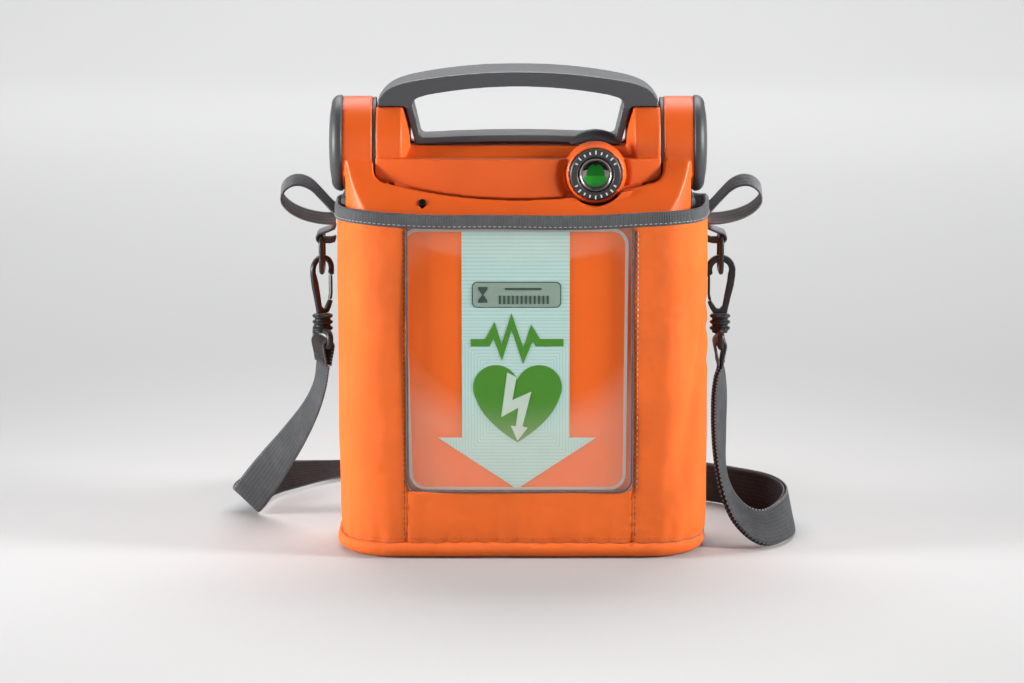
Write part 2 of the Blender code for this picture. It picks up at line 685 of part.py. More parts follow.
def make_housing_screws():
    screws = []
    profile = [
        (0, 0.0440), (0.0030, 0.0438), (0.0034, 0.0430), (0.0034, 0.0418),
        (0.0015, 0.0414), (0.0015, 0.0320), (0, 0.0310),
    ]
    for index, place in enumerate(SCREW_PLACES):
        name = f"housing_screw_{index + 1}"
        screws.append(turned(name, profile, "Y", place, "steel", steps=12))
    return screws


def make_front_deck():
    """The plate that closes the case under the lid, with openings for its controls."""
    inset = CASE_WALL + SEAM_GAP
    outline = rounded(
        -CASE_HALF_WIDTH + inset, CASE_HALF_WIDTH - inset, CASE_LOW + inset, CASE_TOP - inset,
        0.004, 3,
    )
    window = rounded(DISPLAY_LEFT, DISPLAY_RIGHT, DISPLAY_LOW, DISPLAY_HIGH, 0.003, 3)
    shock = arc((SHOCK_X, SHOCK_Z), SHOCK_RADIUS + 0.0004, 0, 345, 23)
    language = arc((LANGUAGE_X, LANGUAGE_Z), LANGUAGE_RADIUS + 0.0004, 0, 337.5, 15)
    grille = [
        arc((SPEAKER_X + column * 0.0062, SPEAKER_Z + row * 0.0062), 0.0018, 0, 315, 7)
        for row in (-1, 0, 1)
        for column in (-1, 0, 1)
    ]
    outlines = [outline, window, shock, language, *grille]
    return prism("front_deck", outlines, "Y", DECK_FRONT, DECK_BACK, "grey_shell")


def make_gasket():
    outer = rounded(-0.1045, 0.1045, 0.0068, 0.2160, 0.024, 6)
    inner = rounded(-0.1022, 0.1022, 0.0091, 0.2137, 0.0217, 6)
    return prism("housing_gasket", [outer, inner], "Y", -0.0197, -0.0183, "grey_rubber")


def smile(x, gap=0.0):
    """The height of the lid's curved top edge, with the parts above it a gap higher."""
    return SMILE_Z + SMILE_RADIUS - sqrt(SMILE_RADIUS**2 - x * x) + gap


def smile_points(half_width, gap, steps=16):
    places = [half_width * (2 * step / steps - 1) for step in range(steps + 1)]
    return [(x, smile(x, gap)) for x in places]


def make_yoke():
    """Two columns that hold the hinge pins, the bar between them, and the indicator's boss."""
    end_x, end_z, end_radius = 0.0760, 0.2366, 0.0090
    bar = smile_points(end_x, LID_GAP) + arc((end_x, end_z), end_radius, -58, 0, 4)
    bar += [(end_x + end_radius, SHELF_Z), (-end_x - end_radius, SHELF_Z)]
    bar += arc((-end_x, end_z), end_radius, 180, 238, 4)
    yoke = prism("hinge_yoke", bar, "Y", YOKE_FRONT - 0.004, -0.0120, "orange_shell")
    places = [COLUMN_OUTER * (2 * step / 16 - 1) for step in range(17)]
    plan = [(x, YOKE_FRONT + YOKE_SWEEP * (x / COLUMN_OUTER) ** 2) for x in places]
    plan += [(COLUMN_OUTER, YOKE_BACK), (-COLUMN_OUTER, YOKE_BACK)]
    combine(yoke, prism("yoke_plan", plan, "Z", 0.20, 0.30), "INTERSECT")
    bevel(yoke, 0.0012, 1, 50)
    slope = [
        (-0.0260, 0.2350), (-0.0200, 0.2405), (HANDLE_FRONT - 0.001, YOKE_TOP),
        (0.0200, YOKE_TOP), (YOKE_BACK - 0.004, 0.2440), (YOKE_BACK, 0.2360),
        (YOKE_BACK, CASE_TOP + SEAM_GAP), (-0.0160, CASE_TOP + SEAM_GAP), (-0.0200, 0.2300),
    ]
    combine(yoke, prism("yoke_base", slope, "X", -0.0780, 0.0780), "UNION")
    for side, sign in SIDES.items():
        span = sorted((sign * COLUMN_INNER, sign * COLUMN_OUTER))
        centre = (HINGE_Y, HINGE_Z)
        column = rod(f"yoke_column_{side}", BARREL_RADIUS, "X", *span, centre, steps=36)
        bevel(column, 0.0012, 1)
        combine(yoke, column, "UNION")
    lamp, boss_back = (LAMP_X, LAMP_Z), LID_BACK - 0.0002
    boss = rod("indicator_boss", BOSS_RADIUS, "Y", BOSS_FRONT, boss_back, lamp, steps=32)
    bevel(boss, 0.0012, 1)
    combine(yoke, boss, "UNION")
    recess = rod("indicator_recess", LAMP_RECESS, "Y", -0.05, -0.0292, lamp, steps=32)
    combine(yoke, recess)
    combine(yoke, block("column_tops", (-0.1, 0.1), (-0.1, 0.1), (COLUMN_TOP, 0.30)))
    combine(yoke, rod("pin_bore", PIN_BORE, "X", -0.1, 0.1, (HINGE_Y, HINGE_Z), steps=20))
    half = HANDLE_SHOULDER + HANDLE_GAP
    handle_room = block("handle_room", (-half, half), (HANDLE_FRONT, 0.05), (YOKE_TOP, 0.30))
    return combine(yoke, handle_room)


def make_handle():
    """A closed ring: the grip's arch over the columns, its sides, and the bar under the fingers."""
    rise = GRIP_TOP - GRIP_END
    radius = (HANDLE_HALF_WIDTH**2 + rise**2) / (2 * rise)
    spread = degrees(acos(HANDLE_HALF_WIDTH / radius))
    arch = arc((0, GRIP_TOP - radius), radius, 180 - spread, spread, 14)
    low = YOKE_TOP + HANDLE_GAP
    shoulder = COLUMN_TOP + HANDLE_GAP
    bump = arc((LAMP_X, LAMP_Z), 0.0250, 118, 62, 6)
    opening = [
        *arc((-0.0550, 0.2622), 0.0060, 180, 270, 4),
        *arc((0.0550, 0.2622), 0.0060, 270, 360, 4),
        *arc((0.0560, 0.2740), 0.0050, 0, 75, 4),
        *[(x, 0.2829 - x * x * 1.28) for x in (0.036, 0.018, 0.0, -0.018, -0.036)],
        *arc((-0.0560, 0.2740), 0.0050, 105, 180, 4),
    ]
    outer = arch + [
        (HANDLE_HALF_WIDTH, shoulder), (HANDLE_SHOULDER, shoulder), (HANDLE_SHOULDER, low),
        (-HANDLE_SHOULDER, low), (-HANDLE_SHOULDER, shoulder), (-HANDLE_HALF_WIDTH, shoulder),
    ]
    handle = prism("handle", [outer, opening], "Y", HANDLE_FRONT, HANDLE_BACK, "grey_shell")
    combine(handle, prism("handle_bump", bump, "Y", HANDLE_FRONT, HANDLE_FRONT + 0.006), "UNION")
    return bevel(handle, 0.0024, 2, 50)


def make_hinge_pin(side):
    span = sorted((SIDES[side] * 0.0680, SIDES[side] * 0.1005))
    return rod(f"hinge_pin_{side}", PIN_RADIUS, "X", *span, (HINGE_Y, HINGE_Z), "steel", steps=20)


def make_indicator():
    at = (LAMP_X, LAMP_Z)
    bezel_profile = [
        (LENS_RADIUS + 0.0003, -0.0298), (BEZEL_RADIUS, -0.0298), (BEZEL_RADIUS, -0.0342),
        (BEZEL_RADIUS - 0.0012, -0.0352), (LENS_RADIUS + 0.0012, -0.0352),
        (LENS_RADIUS + 0.0003, -0.0346), (LENS_RADIUS + 0.0003, -0.0298),
    ]
    lens_profile = [
        (0, -0.0315), (LENS_RADIUS, -0.0315), (LENS_RADIUS, -0.0340), (0.0080, -0.0352),
        (0.0045, -0.0358), (0, -0.0360),
    ]
    flag_radius = LENS_RADIUS - 0.0004
    flag_profile = [(0, -0.0297), (flag_radius, -0.0297), (flag_radius, -0.0309), (0, -0.0309)]
    return [
        turned("indicator_bezel", bezel_profile, "Y", at, "grey_shell", steps=28),
        turned("indicator_lens", lens_profile, "Y", at, "clear_lens", steps=20),
        turned("indicator_flag", flag_profile, "Y", at, "green_flag", steps=20),
    ]


def make_deck_fittings():
    """What is fixed to the deck: the display, the speaker, the pads pack and its plug."""
    gap = SEAM_GAP
    window = rounded(
        DISPLAY_LEFT + gap, DISPLAY_RIGHT - gap, DISPLAY_LOW + gap, DISPLAY_HIGH - gap, 0.0027, 3
    )
    panel = rounded(-PACK_HALF_WIDTH, PACK_HALF_WIDTH, PACK_LOW, PACK_HIGH, 0.010, 4)
    on_deck = DECK_FRONT - gap
    pack = prism("pads_pack", panel, "Y", PACK_FRONT, on_deck, "pack_foil")
    plug_low = PLUG_Z - 0.0140
    plug = block(
        "pads_connector", (PLUG_X - 0.007, PLUG_X + 0.007), (-0.0255, -0.0175),
        (plug_low, PLUG_Z - 0.0043), "shock_red",
    )
    top, foot = CASE_X + PLUG_X, CASE_X + PLUG_X - 0.0030
    lead = [
        (top, -0.0215, plug_low - 0.0003), (top, -0.0215, plug_low - 0.0013),
        (foot, -0.0250, PACK_HIGH + 0.0013), (foot, -0.0250, PACK_HIGH + 0.0003),
    ]
    return [
        prism("display_window", window, "Y", DECK_FRONT - 0.0005, -0.0155, "clear_lens"),
        block(
            "display", (DISPLAY_LEFT + 0.002, DISPLAY_RIGHT - 0.002), (-0.0152, -0.0100),
            (DISPLAY_LOW + 0.002, DISPLAY_HIGH - 0.002), "black_plastic",
        ),
        rod(
            "speaker", SPEAKER_RADIUS, "Y", DECK_BACK + gap, -0.0050, (SPEAKER_X, SPEAKER_Z),
            "black_plastic", steps=24,
        ),
        bevel(pack, 0.003, 2, 60),
        block(
            "pads_socket", (PLUG_X - 0.009, PLUG_X + 0.009), (-0.0260, on_deck),
            (PLUG_Z - 0.004, PLUG_Z + 0.008), "black_plastic",
        ),
        bevel(plug, 0.0012, 2),
        tube("pads_lead", lead, 0.0016, "black_plastic"),
    ]


def make_inner_parts():
    """The battery, the main board and the capacitor in the back of the case."""
    battery = block(
        "battery_pack", (-BATTERY_HALF_WIDTH, BATTERY_HALF_WIDTH), (0.0100, CASE_BACK - SEAM_GAP),
        (BATTERY_LOW, BATTERY_HIGH), "grey_shell",
    )
    board = block(
        "main_board", (-0.0900, 0.0900), (0.0020, 0.0036), (0.0800, 0.2050), "circuit_board"
    )
    capacitor = rod(
        "capacitor", 0.0140, "Z", 0.0120, 0.0700, (-0.0640, 0.0200), "black_plastic", steps=24
    )
    return [bevel(battery, 0.0015, 2), board, bevel(capacitor, 0.0015, 2)]


# The lid


def lid_profile(inset):
    """The lid's side view: its front, the round bottom edge, and the ramp to the hinge."""
    front, low = LID_FRONT + inset, LID_LOW + inset
    radius = LID_FOOT_RADIUS - inset
    back = LID_BACK + (0.01 if inset else 0)
    rise = (RAMP_TOP_Z - LID_RAMP_Z) / (RAMP_TOP_Y - LID_FRONT)
    slant = inset * hypot(1, rise) / rise
    return (
        [(back, RAMP_TOP_Z), (back, low)]
        + arc((front + radius, low + radius), radius, 270, 180, 4)
        + [(front, LID_RAMP_Z), (RAMP_TOP_Y + slant, RAMP_TOP_Z)]
    )


def make_lid():
    """The front panel with its rim, and the two barrels that turn on the hinge pins."""
    shell = make_lid_body("lid_shell", 0, "orange_shell")
    combine(shell, make_lid_body("lid_inside", LID_WALL, None))
    for side, sign in SIDES.items():
        combine(shell, make_barrel(side, sign), "UNION")
    end_x, end_z, end_radius = 0.0778, 0.2372, 0.0095
    top = smile_points(SMILE_HALF_WIDTH, 0) + arc((end_x, end_z), end_radius, -60, 0, 4)
    top += [(BARREL_INNER, 0.30), (-BARREL_INNER, 0.30)]
    top += arc((-end_x, end_z), end_radius, 180, 240, 4)
    combine(shell, prism("lid_top_room", top, "Y", -0.1, 0.1))
    combine(shell, rod("boss_room", 0.0210, "Y", -0.1, 0.1, (LAMP_X, LAMP_Z), steps=32))
    combine(shell, rod("lock_hole", 0.0020, "Y", -0.1, LID_BACK, (-0.0573, 0.2150), steps=12))
    bore = rod("barrel_bore", PIN_BORE, "X", -0.1012, 0.1012, (HINGE_Y, HINGE_Z), steps=20)
    return combine(shell, bore)


def lid_plan(inset):
    """The lid from above: straight behind, with two round front corners."""
    half, radius = LID_HALF_WIDTH - inset, LID_CORNER - inset
    return rounded(-half, half, LID_FRONT + inset, 0.02, (radius, radius, 0, 0), 7)


def make_lid_body(name, inset, finish):
    """The lid's tray, or the hollow in it where there is an inset."""
    half, radius = LID_HALF_WIDTH - inset, LID_FOOT_CORNER - inset
    body = prism(name, lid_profile(inset), "X", -half, half, finish)
    combine(body, prism(f"{name}_plan", lid_plan(inset), "Z", 0, 0.30), "INTERSECT")
    outline = rounded(-half, half, LID_LOW + inset, 0.31, (radius, radius, 0, 0), 7)
    return combine(body, prism(f"{name}_outline", outline, "Y", -0.1, 0.1), "INTERSECT")


def make_barrel(side, sign):
    """A hollow drum, open at its outer end, with a boss for the pin and a ramp to the panel."""
    span = sorted((sign * BARREL_INNER, sign * BARREL_OUTER))
    centre = (HINGE_Y, HINGE_Z)
    drum = rod(f"barrel_{side}", BARREL_RADIUS, "X", *span, centre, steps=36)
    foot_y, foot_z = LID_FRONT + 0.0002, LID_RAMP_Z - 0.0070
    web = [
        (LID_BACK, foot_z), (LID_BACK, 0.2320), (-0.0050, 0.2600), (RAMP_TOP_Y, 0.2500),
        (RAMP_TOP_Y, RAMP_TOP_Z), (foot_y, LID_RAMP_Z), (foot_y, foot_z),
    ]
    ramp_span = sorted((sign * BARREL_INNER, sign * (LID_HALF_WIDTH - 0.0004)))
    ramp = prism(f"barrel_ramp_{side}", web, "X", *ramp_span)
    combine(ramp, prism(f"barrel_plan_{side}", lid_plan(0), "Z", 0.1, 0.30), "INTERSECT")
    combine(drum, ramp, "UNION")
    inside = sorted((sign * (BARREL_INNER + LID_WALL), sign * (BARREL_OUTER + 0.01)))
    bore = rod(f"barrel_inside_{side}", BARREL_RADIUS - LID_WALL, "X", *inside, centre, steps=24)
    combine(drum, bore)
    boss_span = sorted((sign * (BARREL_INNER + 0.0010), sign * (BARREL_OUTER - 0.0030)))
    boss = rod(f"barrel_boss_{side}", 0.0080, "X", *boss_span, centre, steps=20)
    return combine(drum, boss, "UNION")


def make_lid_fittings():
    """The printed panel on the lid's face, the liner behind it, and the closing magnet."""
    label = rounded(-0.0640, 0.0640, 0.0460, 0.1960, 0.008, 5)
    liner = rounded(-0.0760, 0.0760, 0.0350, 0.1950, 0.010, 5)
    face = LID_FRONT - SEAM_GAP
    return [
        prism("lid_label", label, "Y", face - 0.0004, face, "orange_label"),
        prism("lid_liner", liner, "Y", LID_FRONT + LID_WALL + SEAM_GAP, -0.0390, "grey_rubber"),
        block("lid_magnet", (-0.0060, 0.0060), (-0.0386, -0.0340), (0.1500, 0.1560), "steel"),
    ]


def make_end_cap(side):
    """A soft round bumper on the barrel's open end."""
    sign = SIDES[side]
    inner, outer, rim = BARREL_OUTER + SEAM_GAP, CAP_OUTER, 0.0030
    profile = [(0, outer)]
    profile += [(BARREL_RADIUS - rim + rim * sin(a), outer - rim + rim * cos(a))
                for a in [radians(15 + 75 * step / 4) for step in range(5)]]
    profile += [(BARREL_RADIUS, inner), (0, inner)]
    if sign < 0:
        profile = [(radius, -along) for radius, along in reversed(profile)]
    return turned(f"end_cap_{side}", profile, "X", (HINGE_Y, HINGE_Z), "grey_rubber", steps=32)


# The pieces that are pressed


def make_buttons():
    """Two round buttons in the deck and the battery's latch, each on its own short travel."""
    shock = rod(
        "shock_button", SHOCK_RADIUS, "Y", SHOCK_FRONT, BUTTON_BACK, (SHOCK_X, SHOCK_Z),
        "shock_red", steps=20,
    )
    language = rod(
        "language_button", LANGUAGE_RADIUS, "Y", LANGUAGE_FRONT, BUTTON_BACK,
        (LANGUAGE_X, LANGUAGE_Z), "grey_rubber", steps=12,
    )
    latch = block(
        "battery_latch", (-LATCH_HALF_WIDTH, LATCH_HALF_WIDTH), (0.0370, CASE_BACK - SEAM_GAP),
        (LATCH_LOW, LATCH_HIGH), "black_plastic",
    )
    return bevel(shock, 0.0012, 2), bevel(language, 0.0008, 2), bevel(latch, 0.0008, 2)


def main():
    sleeve = axis_empty("sleeve_frame", (0, 0, 0))
    for piece in [*make_sleeve(), make_window_piping(), *make_strap()]:
        attach(piece, sleeve)
    for side, sign in SIDES.items():
        for make in (make_pull_loop, make_ring_tab, make_hook):
            attach(make(side), sleeve)
        ring = axis_empty(f"ring_axis_{side}", (sign * RING_X, 0, RING_TOP), sleeve)
        attach(make_ring(side), ring)
        gate = axis_empty(f"gate_axis_{side}", hook_place(side, *GATE_PIVOT), sleeve)
        attach(make_gate(side), gate)
        swivel = axis_empty(f"swivel_axis_{side}", (sign * SWIVEL_X, 0, HOOK_BASE), sleeve)
        attach(make_swivel(side), swivel)
        attach(make_strap_end(side), swivel)
    slider = axis_empty("slider_axis", (SLIDER_X, SLIDER_Y, STRAP_LEFT[-1][0][2]), sleeve)
    attach(make_slider(), slider)

    case = axis_empty("case_axis", (CASE_X, 0, CASE_LOW), sleeve)
    case_pieces = [
        make_back_housing(), make_front_deck(), make_gasket(), make_yoke(), make_handle(),
        *make_housing_screws(), *make_indicator(), *make_deck_fittings(), *make_inner_parts(),
        *[make_hinge_pin(side) for side in SIDES],
    ]
    for piece in case_pieces:
        attach(piece, case)
    lid = axis_empty("lid_axis", (CASE_X, HINGE_Y, HINGE_Z), case)
    for piece in [make_lid(), *make_lid_fittings(), *[make_end_cap(side) for side in SIDES]]:
        attach(piece, lid)
    shock, language, latch = make_buttons()
    shock_place = (CASE_X + SHOCK_X, SHOCK_FRONT, SHOCK_Z)
    attach(shock, axis_empty("shock_axis", shock_place, case))
    language_place = (CASE_X + LANGUAGE_X, LANGUAGE_FRONT, LANGUAGE_Z)
    attach(language, axis_empty("language_axis", language_place, case))
    latch_middle = (LATCH_LOW + LATCH_HIGH) / 2
    attach(latch, axis_empty("latch_axis", (CASE_X, CASE_BACK, latch_middle), case))


clear_scene()
PARTS = new_collection("defibrillator")
CUTTERS = new_collection("cutters")
main()
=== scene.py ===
"""The looks of a portable defibrillator in its carry sleeve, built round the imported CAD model.

Metres, +Z up, the front at -Y, in the frame of the CAD model. Places that belong to the case are
measured from its own middle plane, which stands at CASE_X.
"""

from contextlib import contextmanager
from math import atan, ceil, cos, exp, hypot, pi, radians, sin, sqrt

import bmesh
import bpy
from mathutils import Matrix, Vector, noise


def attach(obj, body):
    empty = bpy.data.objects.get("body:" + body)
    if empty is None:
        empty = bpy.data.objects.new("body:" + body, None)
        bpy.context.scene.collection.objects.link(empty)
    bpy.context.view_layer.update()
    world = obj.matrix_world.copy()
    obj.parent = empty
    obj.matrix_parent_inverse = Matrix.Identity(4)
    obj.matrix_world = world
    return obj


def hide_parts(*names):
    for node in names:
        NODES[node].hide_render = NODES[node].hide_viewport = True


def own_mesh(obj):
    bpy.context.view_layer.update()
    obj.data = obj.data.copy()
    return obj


# The CAD model's own values, in metres, as its source has them.
SLEEVE_HALF_WIDTH, SLEEVE_HALF_DEPTH, SLEEVE_CORNER = 0.1125, 0.048, 0.036
FABRIC, WALL_TOP = 0.0025, 0.2022
RIM_LOW, RIM_HIGH, RIM_THICKNESS = 0.2025, 0.2107, 0.0034
WINDOW_LEFT, WINDOW_RIGHT, WINDOW_LOW = -0.069, 0.0668, 0.042
CASE_X = -0.002
HINGE = (0.004, 0.247)
BARREL_RADIUS, BARREL_INNER, BARREL_OUTER, CAP_OUTER = 0.0285, 0.0874, 0.106, 0.115
LID_HALF_WIDTH, LID_FRONT, LID_BACK = 0.105, -0.044, -0.02
LID_LOW, LID_RAMP_Z = 0.008, 0.203
RAMP_TOP_Y, RAMP_TOP_Z = -0.0245, 0.24
LID_CORNER, LID_FOOT_CORNER, LID_FOOT_RADIUS, LID_WALL = 0.031, 0.026, 0.007, 0.003
SMILE_Z, SMILE_RADIUS, SMILE_HALF_WIDTH = 0.2177, 0.331, 0.08
COLUMN_INNER, COLUMN_OUTER, COLUMN_TOP = 0.066, 0.0856, 0.2704
YOKE_FRONT, YOKE_BACK, YOKE_SWEEP = -0.031, 0.029, 0.0075
SHELF_Z, YOKE_TOP = 0.241, 0.2474
HANDLE_FRONT, HANDLE_BACK, HANDLE_HALF_WIDTH = -0.0105, 0.0185, 0.0845
GRIP_TOP, GRIP_END, HANDLE_GAP = 0.294, 0.2745, 0.0004
PIN_BORE = 0.0043
LAMP, KEY_X = (0.0463, 0.233), -0.0573
RING_X, RING_TOP, RING_LOW, RING_HALF_WIDTH, RING_WIRE = 0.1212, 0.1905, 0.169, 0.013, 0.0015
TAB_FOLD, TAB_HALF_WIDTH = 0.0036, 0.0105
HOOK_BASE, GATE_PIVOT = 0.1425, (-0.0064, 0.0066)
HOOK_TURN = {"left": radians(46), "right": 0.0}
HOOK_BORE, HOOK_THICKNESS = {"left": 0.0062, "right": 0.0051}, {"left": 0.0028, "right": 0.0042}
SWIVEL_X, EYE_BAR_Z, EYE_TOP_Z, EYE_BAR, EYE_HALF_WIDTH = 0.1214, 0.124, 0.1325, 0.002, 0.015
RIBS, RIB_PITCH, RIB_RADIUS, RIB_GROOVE = 3, 0.0038, 0.0063, 0.0048
EYE_TURN = {"left": radians(20), "right": 0.0}
STRAP_END_Z, STRAP_WIDTH, STRAP_THICKNESS, PLY_GAP = 0.112, 0.025, 0.0015, 0.0004
SLIDER_X, SLIDER_Y, SLIDER_Z, SLIDER_HALF_LENGTH = 0.03, 0.16, 0.0157, 0.009
LOOP_WIDTH, LOOP_THICKNESS, LOOP_ACROSS = 0.01, 0.0014, (0.0, 0.8, 0.6)
SIDES = {"left": -1, "right": 1}
# The strap's middle line and its direction across, at each point of its route.
STRAP_LEFT = (
    (-0.1214, 0.0, 0.1115, 0.34, -0.94, 0.0), (-0.1238, 0.004, 0.097, 0.33, -0.94, 0.0),
    (-0.1301, 0.013, 0.0806, 0.42, -0.9, -0.07), (-0.1412, 0.027, 0.0607, 0.58, -0.79, -0.22),
    (-0.1532, 0.045, 0.0414, 0.69, -0.63, -0.36), (-0.1658, 0.064, 0.0213, 0.72, -0.46, -0.52),
    (-0.1745, 0.0715, 0.0088, 0.72, -0.46, -0.52), (-0.175, 0.079, 0.0092, 0.62, -0.5, -0.6),
    (-0.17, 0.0925, 0.0106, 0.42, -0.55, -0.7), (-0.16, 0.119, 0.0112, 0.05, -0.66, -0.72),
    (-0.141, 0.143, 0.0088, -0.24, -0.8, -0.54), (-0.118, 0.17, 0.0058, -0.18, -0.95, -0.28),
    (-0.085, 0.185, 0.0056, -0.05, -0.96, -0.28), (-0.045, 0.178, 0.0098, 0.0, -0.76, -0.65),
    (-0.015, 0.165, 0.0142, 0.0, -0.25, -0.95), (0.01, 0.16, 0.0157, 0.0, 0.0, -1.0),
    (0.03, 0.16, 0.0157, 0.0, 0.0, -1.0), (0.048, 0.16, 0.0157, 0.0, 0.0, -1.0),
)
STRAP_RIGHT = (
    (0.0483, 0.16, 0.0157, 0.0, 0.0, -1.0), (0.065, 0.157, 0.015, 0.0, 0.0, -1.0),
    (0.085, 0.14, 0.014, 0.0, 0.0, -1.0), (0.11, 0.109, 0.0134, 0.0, 0.02, -1.0),
    (0.134, 0.09, 0.0134, 0.0, -0.03, -1.0), (0.156, 0.07, 0.0134, 0.05, -0.05, -0.99),
    (0.1655, 0.046, 0.0134, 0.1, -0.03, -0.99), (0.167, 0.022, 0.013, 0.22, -0.18, -0.96),
    (0.1605, 0.0, 0.012, 0.22, -0.48, -0.85), (0.149, -0.0135, 0.0112, 0.1, -0.68, -0.72),
    (0.1385, -0.014, 0.0152, 0.02, -0.8, -0.6), (0.129, -0.008, 0.0255, -0.04, -0.86, -0.5),
    (0.1235, -0.002, 0.042, -0.16, -0.96, -0.2), (0.1216, 0.0, 0.065, -0.3, -0.95, -0.03),
    (0.1214, 0.0, 0.09, -0.34, -0.94, 0.0), (0.1214, 0.0, 0.105, -0.22, -0.97, 0.0),
    (0.1214, 0.0, 0.1115, 0.0, -1.0, 0.0),
)
LOOP_ROUTE = (
    (0.1126, 0.0016, 0.2066), (0.116, 0.0022, 0.2096), (0.1212, 0.003, 0.2152),
    (0.1275, 0.003, 0.2215), (0.134, 0.002, 0.2245), (0.14, 0.0, 0.224),
    (0.1445, -0.0015, 0.22), (0.145, -0.0025, 0.214), (0.14, -0.003, 0.2085),
    (0.132, -0.003, 0.2045), (0.123, -0.0025, 0.2022), (0.116, -0.002, 0.2016),
    (0.1126, -0.0016, 0.202),
)

# The sleeve's plan, measured along its wall from the middle of the front.
STRAIGHT = SLEEVE_HALF_WIDTH - SLEEVE_CORNER
QUARTER = pi / 2 * (SLEEVE_CORNER - FABRIC / 2)
SIDE_FLAT = SLEEVE_HALF_DEPTH - SLEEVE_CORNER
SEAM_AT = STRAIGHT + QUARTER + SIDE_FLAT
BOTTOM_SEAM_Z = 0.0095

PLANES = {
    "X": Matrix(((0, 0, 1, 0), (1, 0, 0, 0), (0, 1, 0, 0), (0, 0, 0, 1))),
    "Y": Matrix.Rotation(pi / 2, 4, "X"),
    "Z": Matrix.Identity(4),
}
DIRECTIONS = {"X": Vector((1, 0, 0)), "Y": Vector((0, 1, 0)), "Z": Vector((0, 0, 1))}


# Materials


MATERIALS = {}


class Finish:
    """A material, with short calls for the nodes that it is made of."""

    def __init__(self, name, colour, roughness, **sockets):
        material = MATERIALS[name] = bpy.data.materials.new(name)
        material.use_nodes = True
        self.tree = material.node_tree
        self.shader = self.tree.nodes["Principled BSDF"]
        self.colour = colour
        self.normal = None
        self.set("Base Color", (*colour, 1))
        self.set("Roughness", roughness)
        for socket, value in sockets.items():
            self.set(socket.replace("_", " "), value)

    def set(self, socket, value):
        self.shader.inputs[socket].default_value = value

    def add(self, kind, *inputs, **settings):
        """A node, with each (socket, value) of its inputs set or linked."""
        node = self.tree.nodes.new(f"ShaderNode{kind}")
        for name, value in settings.items():
            setattr(node, name, value)
        for socket, value in inputs:
            if isinstance(value, bpy.types.NodeSocket):
                self.tree.links.new(value, node.inputs[socket])
            else:
                node.inputs[socket].default_value = value
        return node

    def maths(self, operation, *values):
        return self.add("Math", *enumerate(values), operation=operation).outputs[0]

    def place(self):
        """The piece's own coordinates, in metres."""
        return self.add("TexCoord").outputs["Object"]

    def along(self):
        """(distance along the piece, distance across it), in metres, from its weave map."""
        weave = self.add("UVMap", uv_map="weave").outputs[0]
        return self.add("SeparateXYZ", (0, weave)).outputs[:2]

    def axes(self):
        return self.add("SeparateXYZ", (0, self.place())).outputs

    def noise(self, size, detail=3.0):
        """Noise whose features are about `size` metres across, from 0 to 1."""
        return self.add("TexNoise", ("Vector", self.place()), ("Scale", 1 / size),
                        ("Detail", detail)).outputs["Fac"]

    def cells(self, size):
        return self.add("TexVoronoi", ("Vector", self.place()),
                        ("Scale", 1 / size)).outputs["Distance"]

    def wave(self, distance, pitch):
        """A wave from 0 to 1 that repeats each pitch along a distance."""
        turn = self.maths("MULTIPLY", distance, 2 * pi / pitch)
        return self.maths("MULTIPLY_ADD", self.maths("SINE", turn), 0.5, 0.5)

    def ramp(self, value, low, high, start=0.0, end=1.0):
        """From low to high, as a value goes from the start to the end."""
        inputs = enumerate((value, start, end, low, high))
        return self.add("MapRange", *inputs).outputs[0]

    def raise_by(self, height, distance):
        inputs = [("Height", height), ("Distance", distance)]
        if self.normal is not None:
            inputs.append(("Normal", self.normal))
        self.normal = self.add("Bump", *inputs).outputs[0]
        self.tree.links.new(self.normal, self.shader.inputs["Normal"])

    def mix(self, share, first, second):
        """One colour turning into another as the share goes from 0 to 1."""
        inputs = [(index, (*colour, 1) if isinstance(colour, tuple) else colour)
                  for index, colour in ((6, first), (7, second))]
        return self.add("Mix", ("Factor", share), *inputs, data_type="RGBA").outputs[2]

    def tones(self, share, low, high):
        """The finish's colour, darker where the share is 0 and paler where it is 1."""
        return self.mix(share, tinted(self.colour, low), tinted(self.colour, high))

    def paint(self, colour):
        self.tree.links.new(colour, self.shader.inputs["Base Color"])

    def gloss(self, low, high, size, detail=3.0):
        """Roughness that drifts from low to high in patches of a size."""
        patches = self.ramp(self.noise(size, detail), low, high, 0.3, 0.7)
        self.tree.links.new(patches, self.shader.inputs["Roughness"])


def tinted(colour, factor):
    return tuple(min(1.0, channel * factor) for channel in colour)


def plastic(name, colour, roughness, grain=0.0006, relief=0.00004, wear=0.25, shine=0.4):
    """Moulded plastic: a fine spark-eroded grain, a slow change of tone, and paler worn edges."""
    finish = Finish(name, colour, roughness, Specular_IOR_Level=shine)
    body = finish.tones(finish.ramp(finish.noise(0.06, 2), 0.0, 1.0, 0.35, 0.65), 0.93, 1.06)
    edge = finish.add("NewGeometry").outputs["Pointiness"]
    worn = finish.ramp(edge, 0.0, wear, 0.505, 0.56)
    finish.paint(finish.mix(worn, body, tinted([c + 0.05 for c in colour], 1.25)))
    finish.gloss(roughness - 0.05, roughness + 0.07, 0.018, 4)
    finish.raise_by(finish.noise(grain, 2), relief)


def metal(name, colour, roughness):
    finish = Finish(name, colour, roughness, Metallic=1.0)
    finish.gloss(roughness - 0.08, roughness + 0.15, 0.0012, 4)
    finish.paint(finish.tones(finish.noise(0.01), 0.82, 1.1))
    finish.raise_by(finish.noise(0.0012, 4), 0.00002)


THREAD_PITCH = 0.00062         # from one thread of the sleeve's cloth to the next


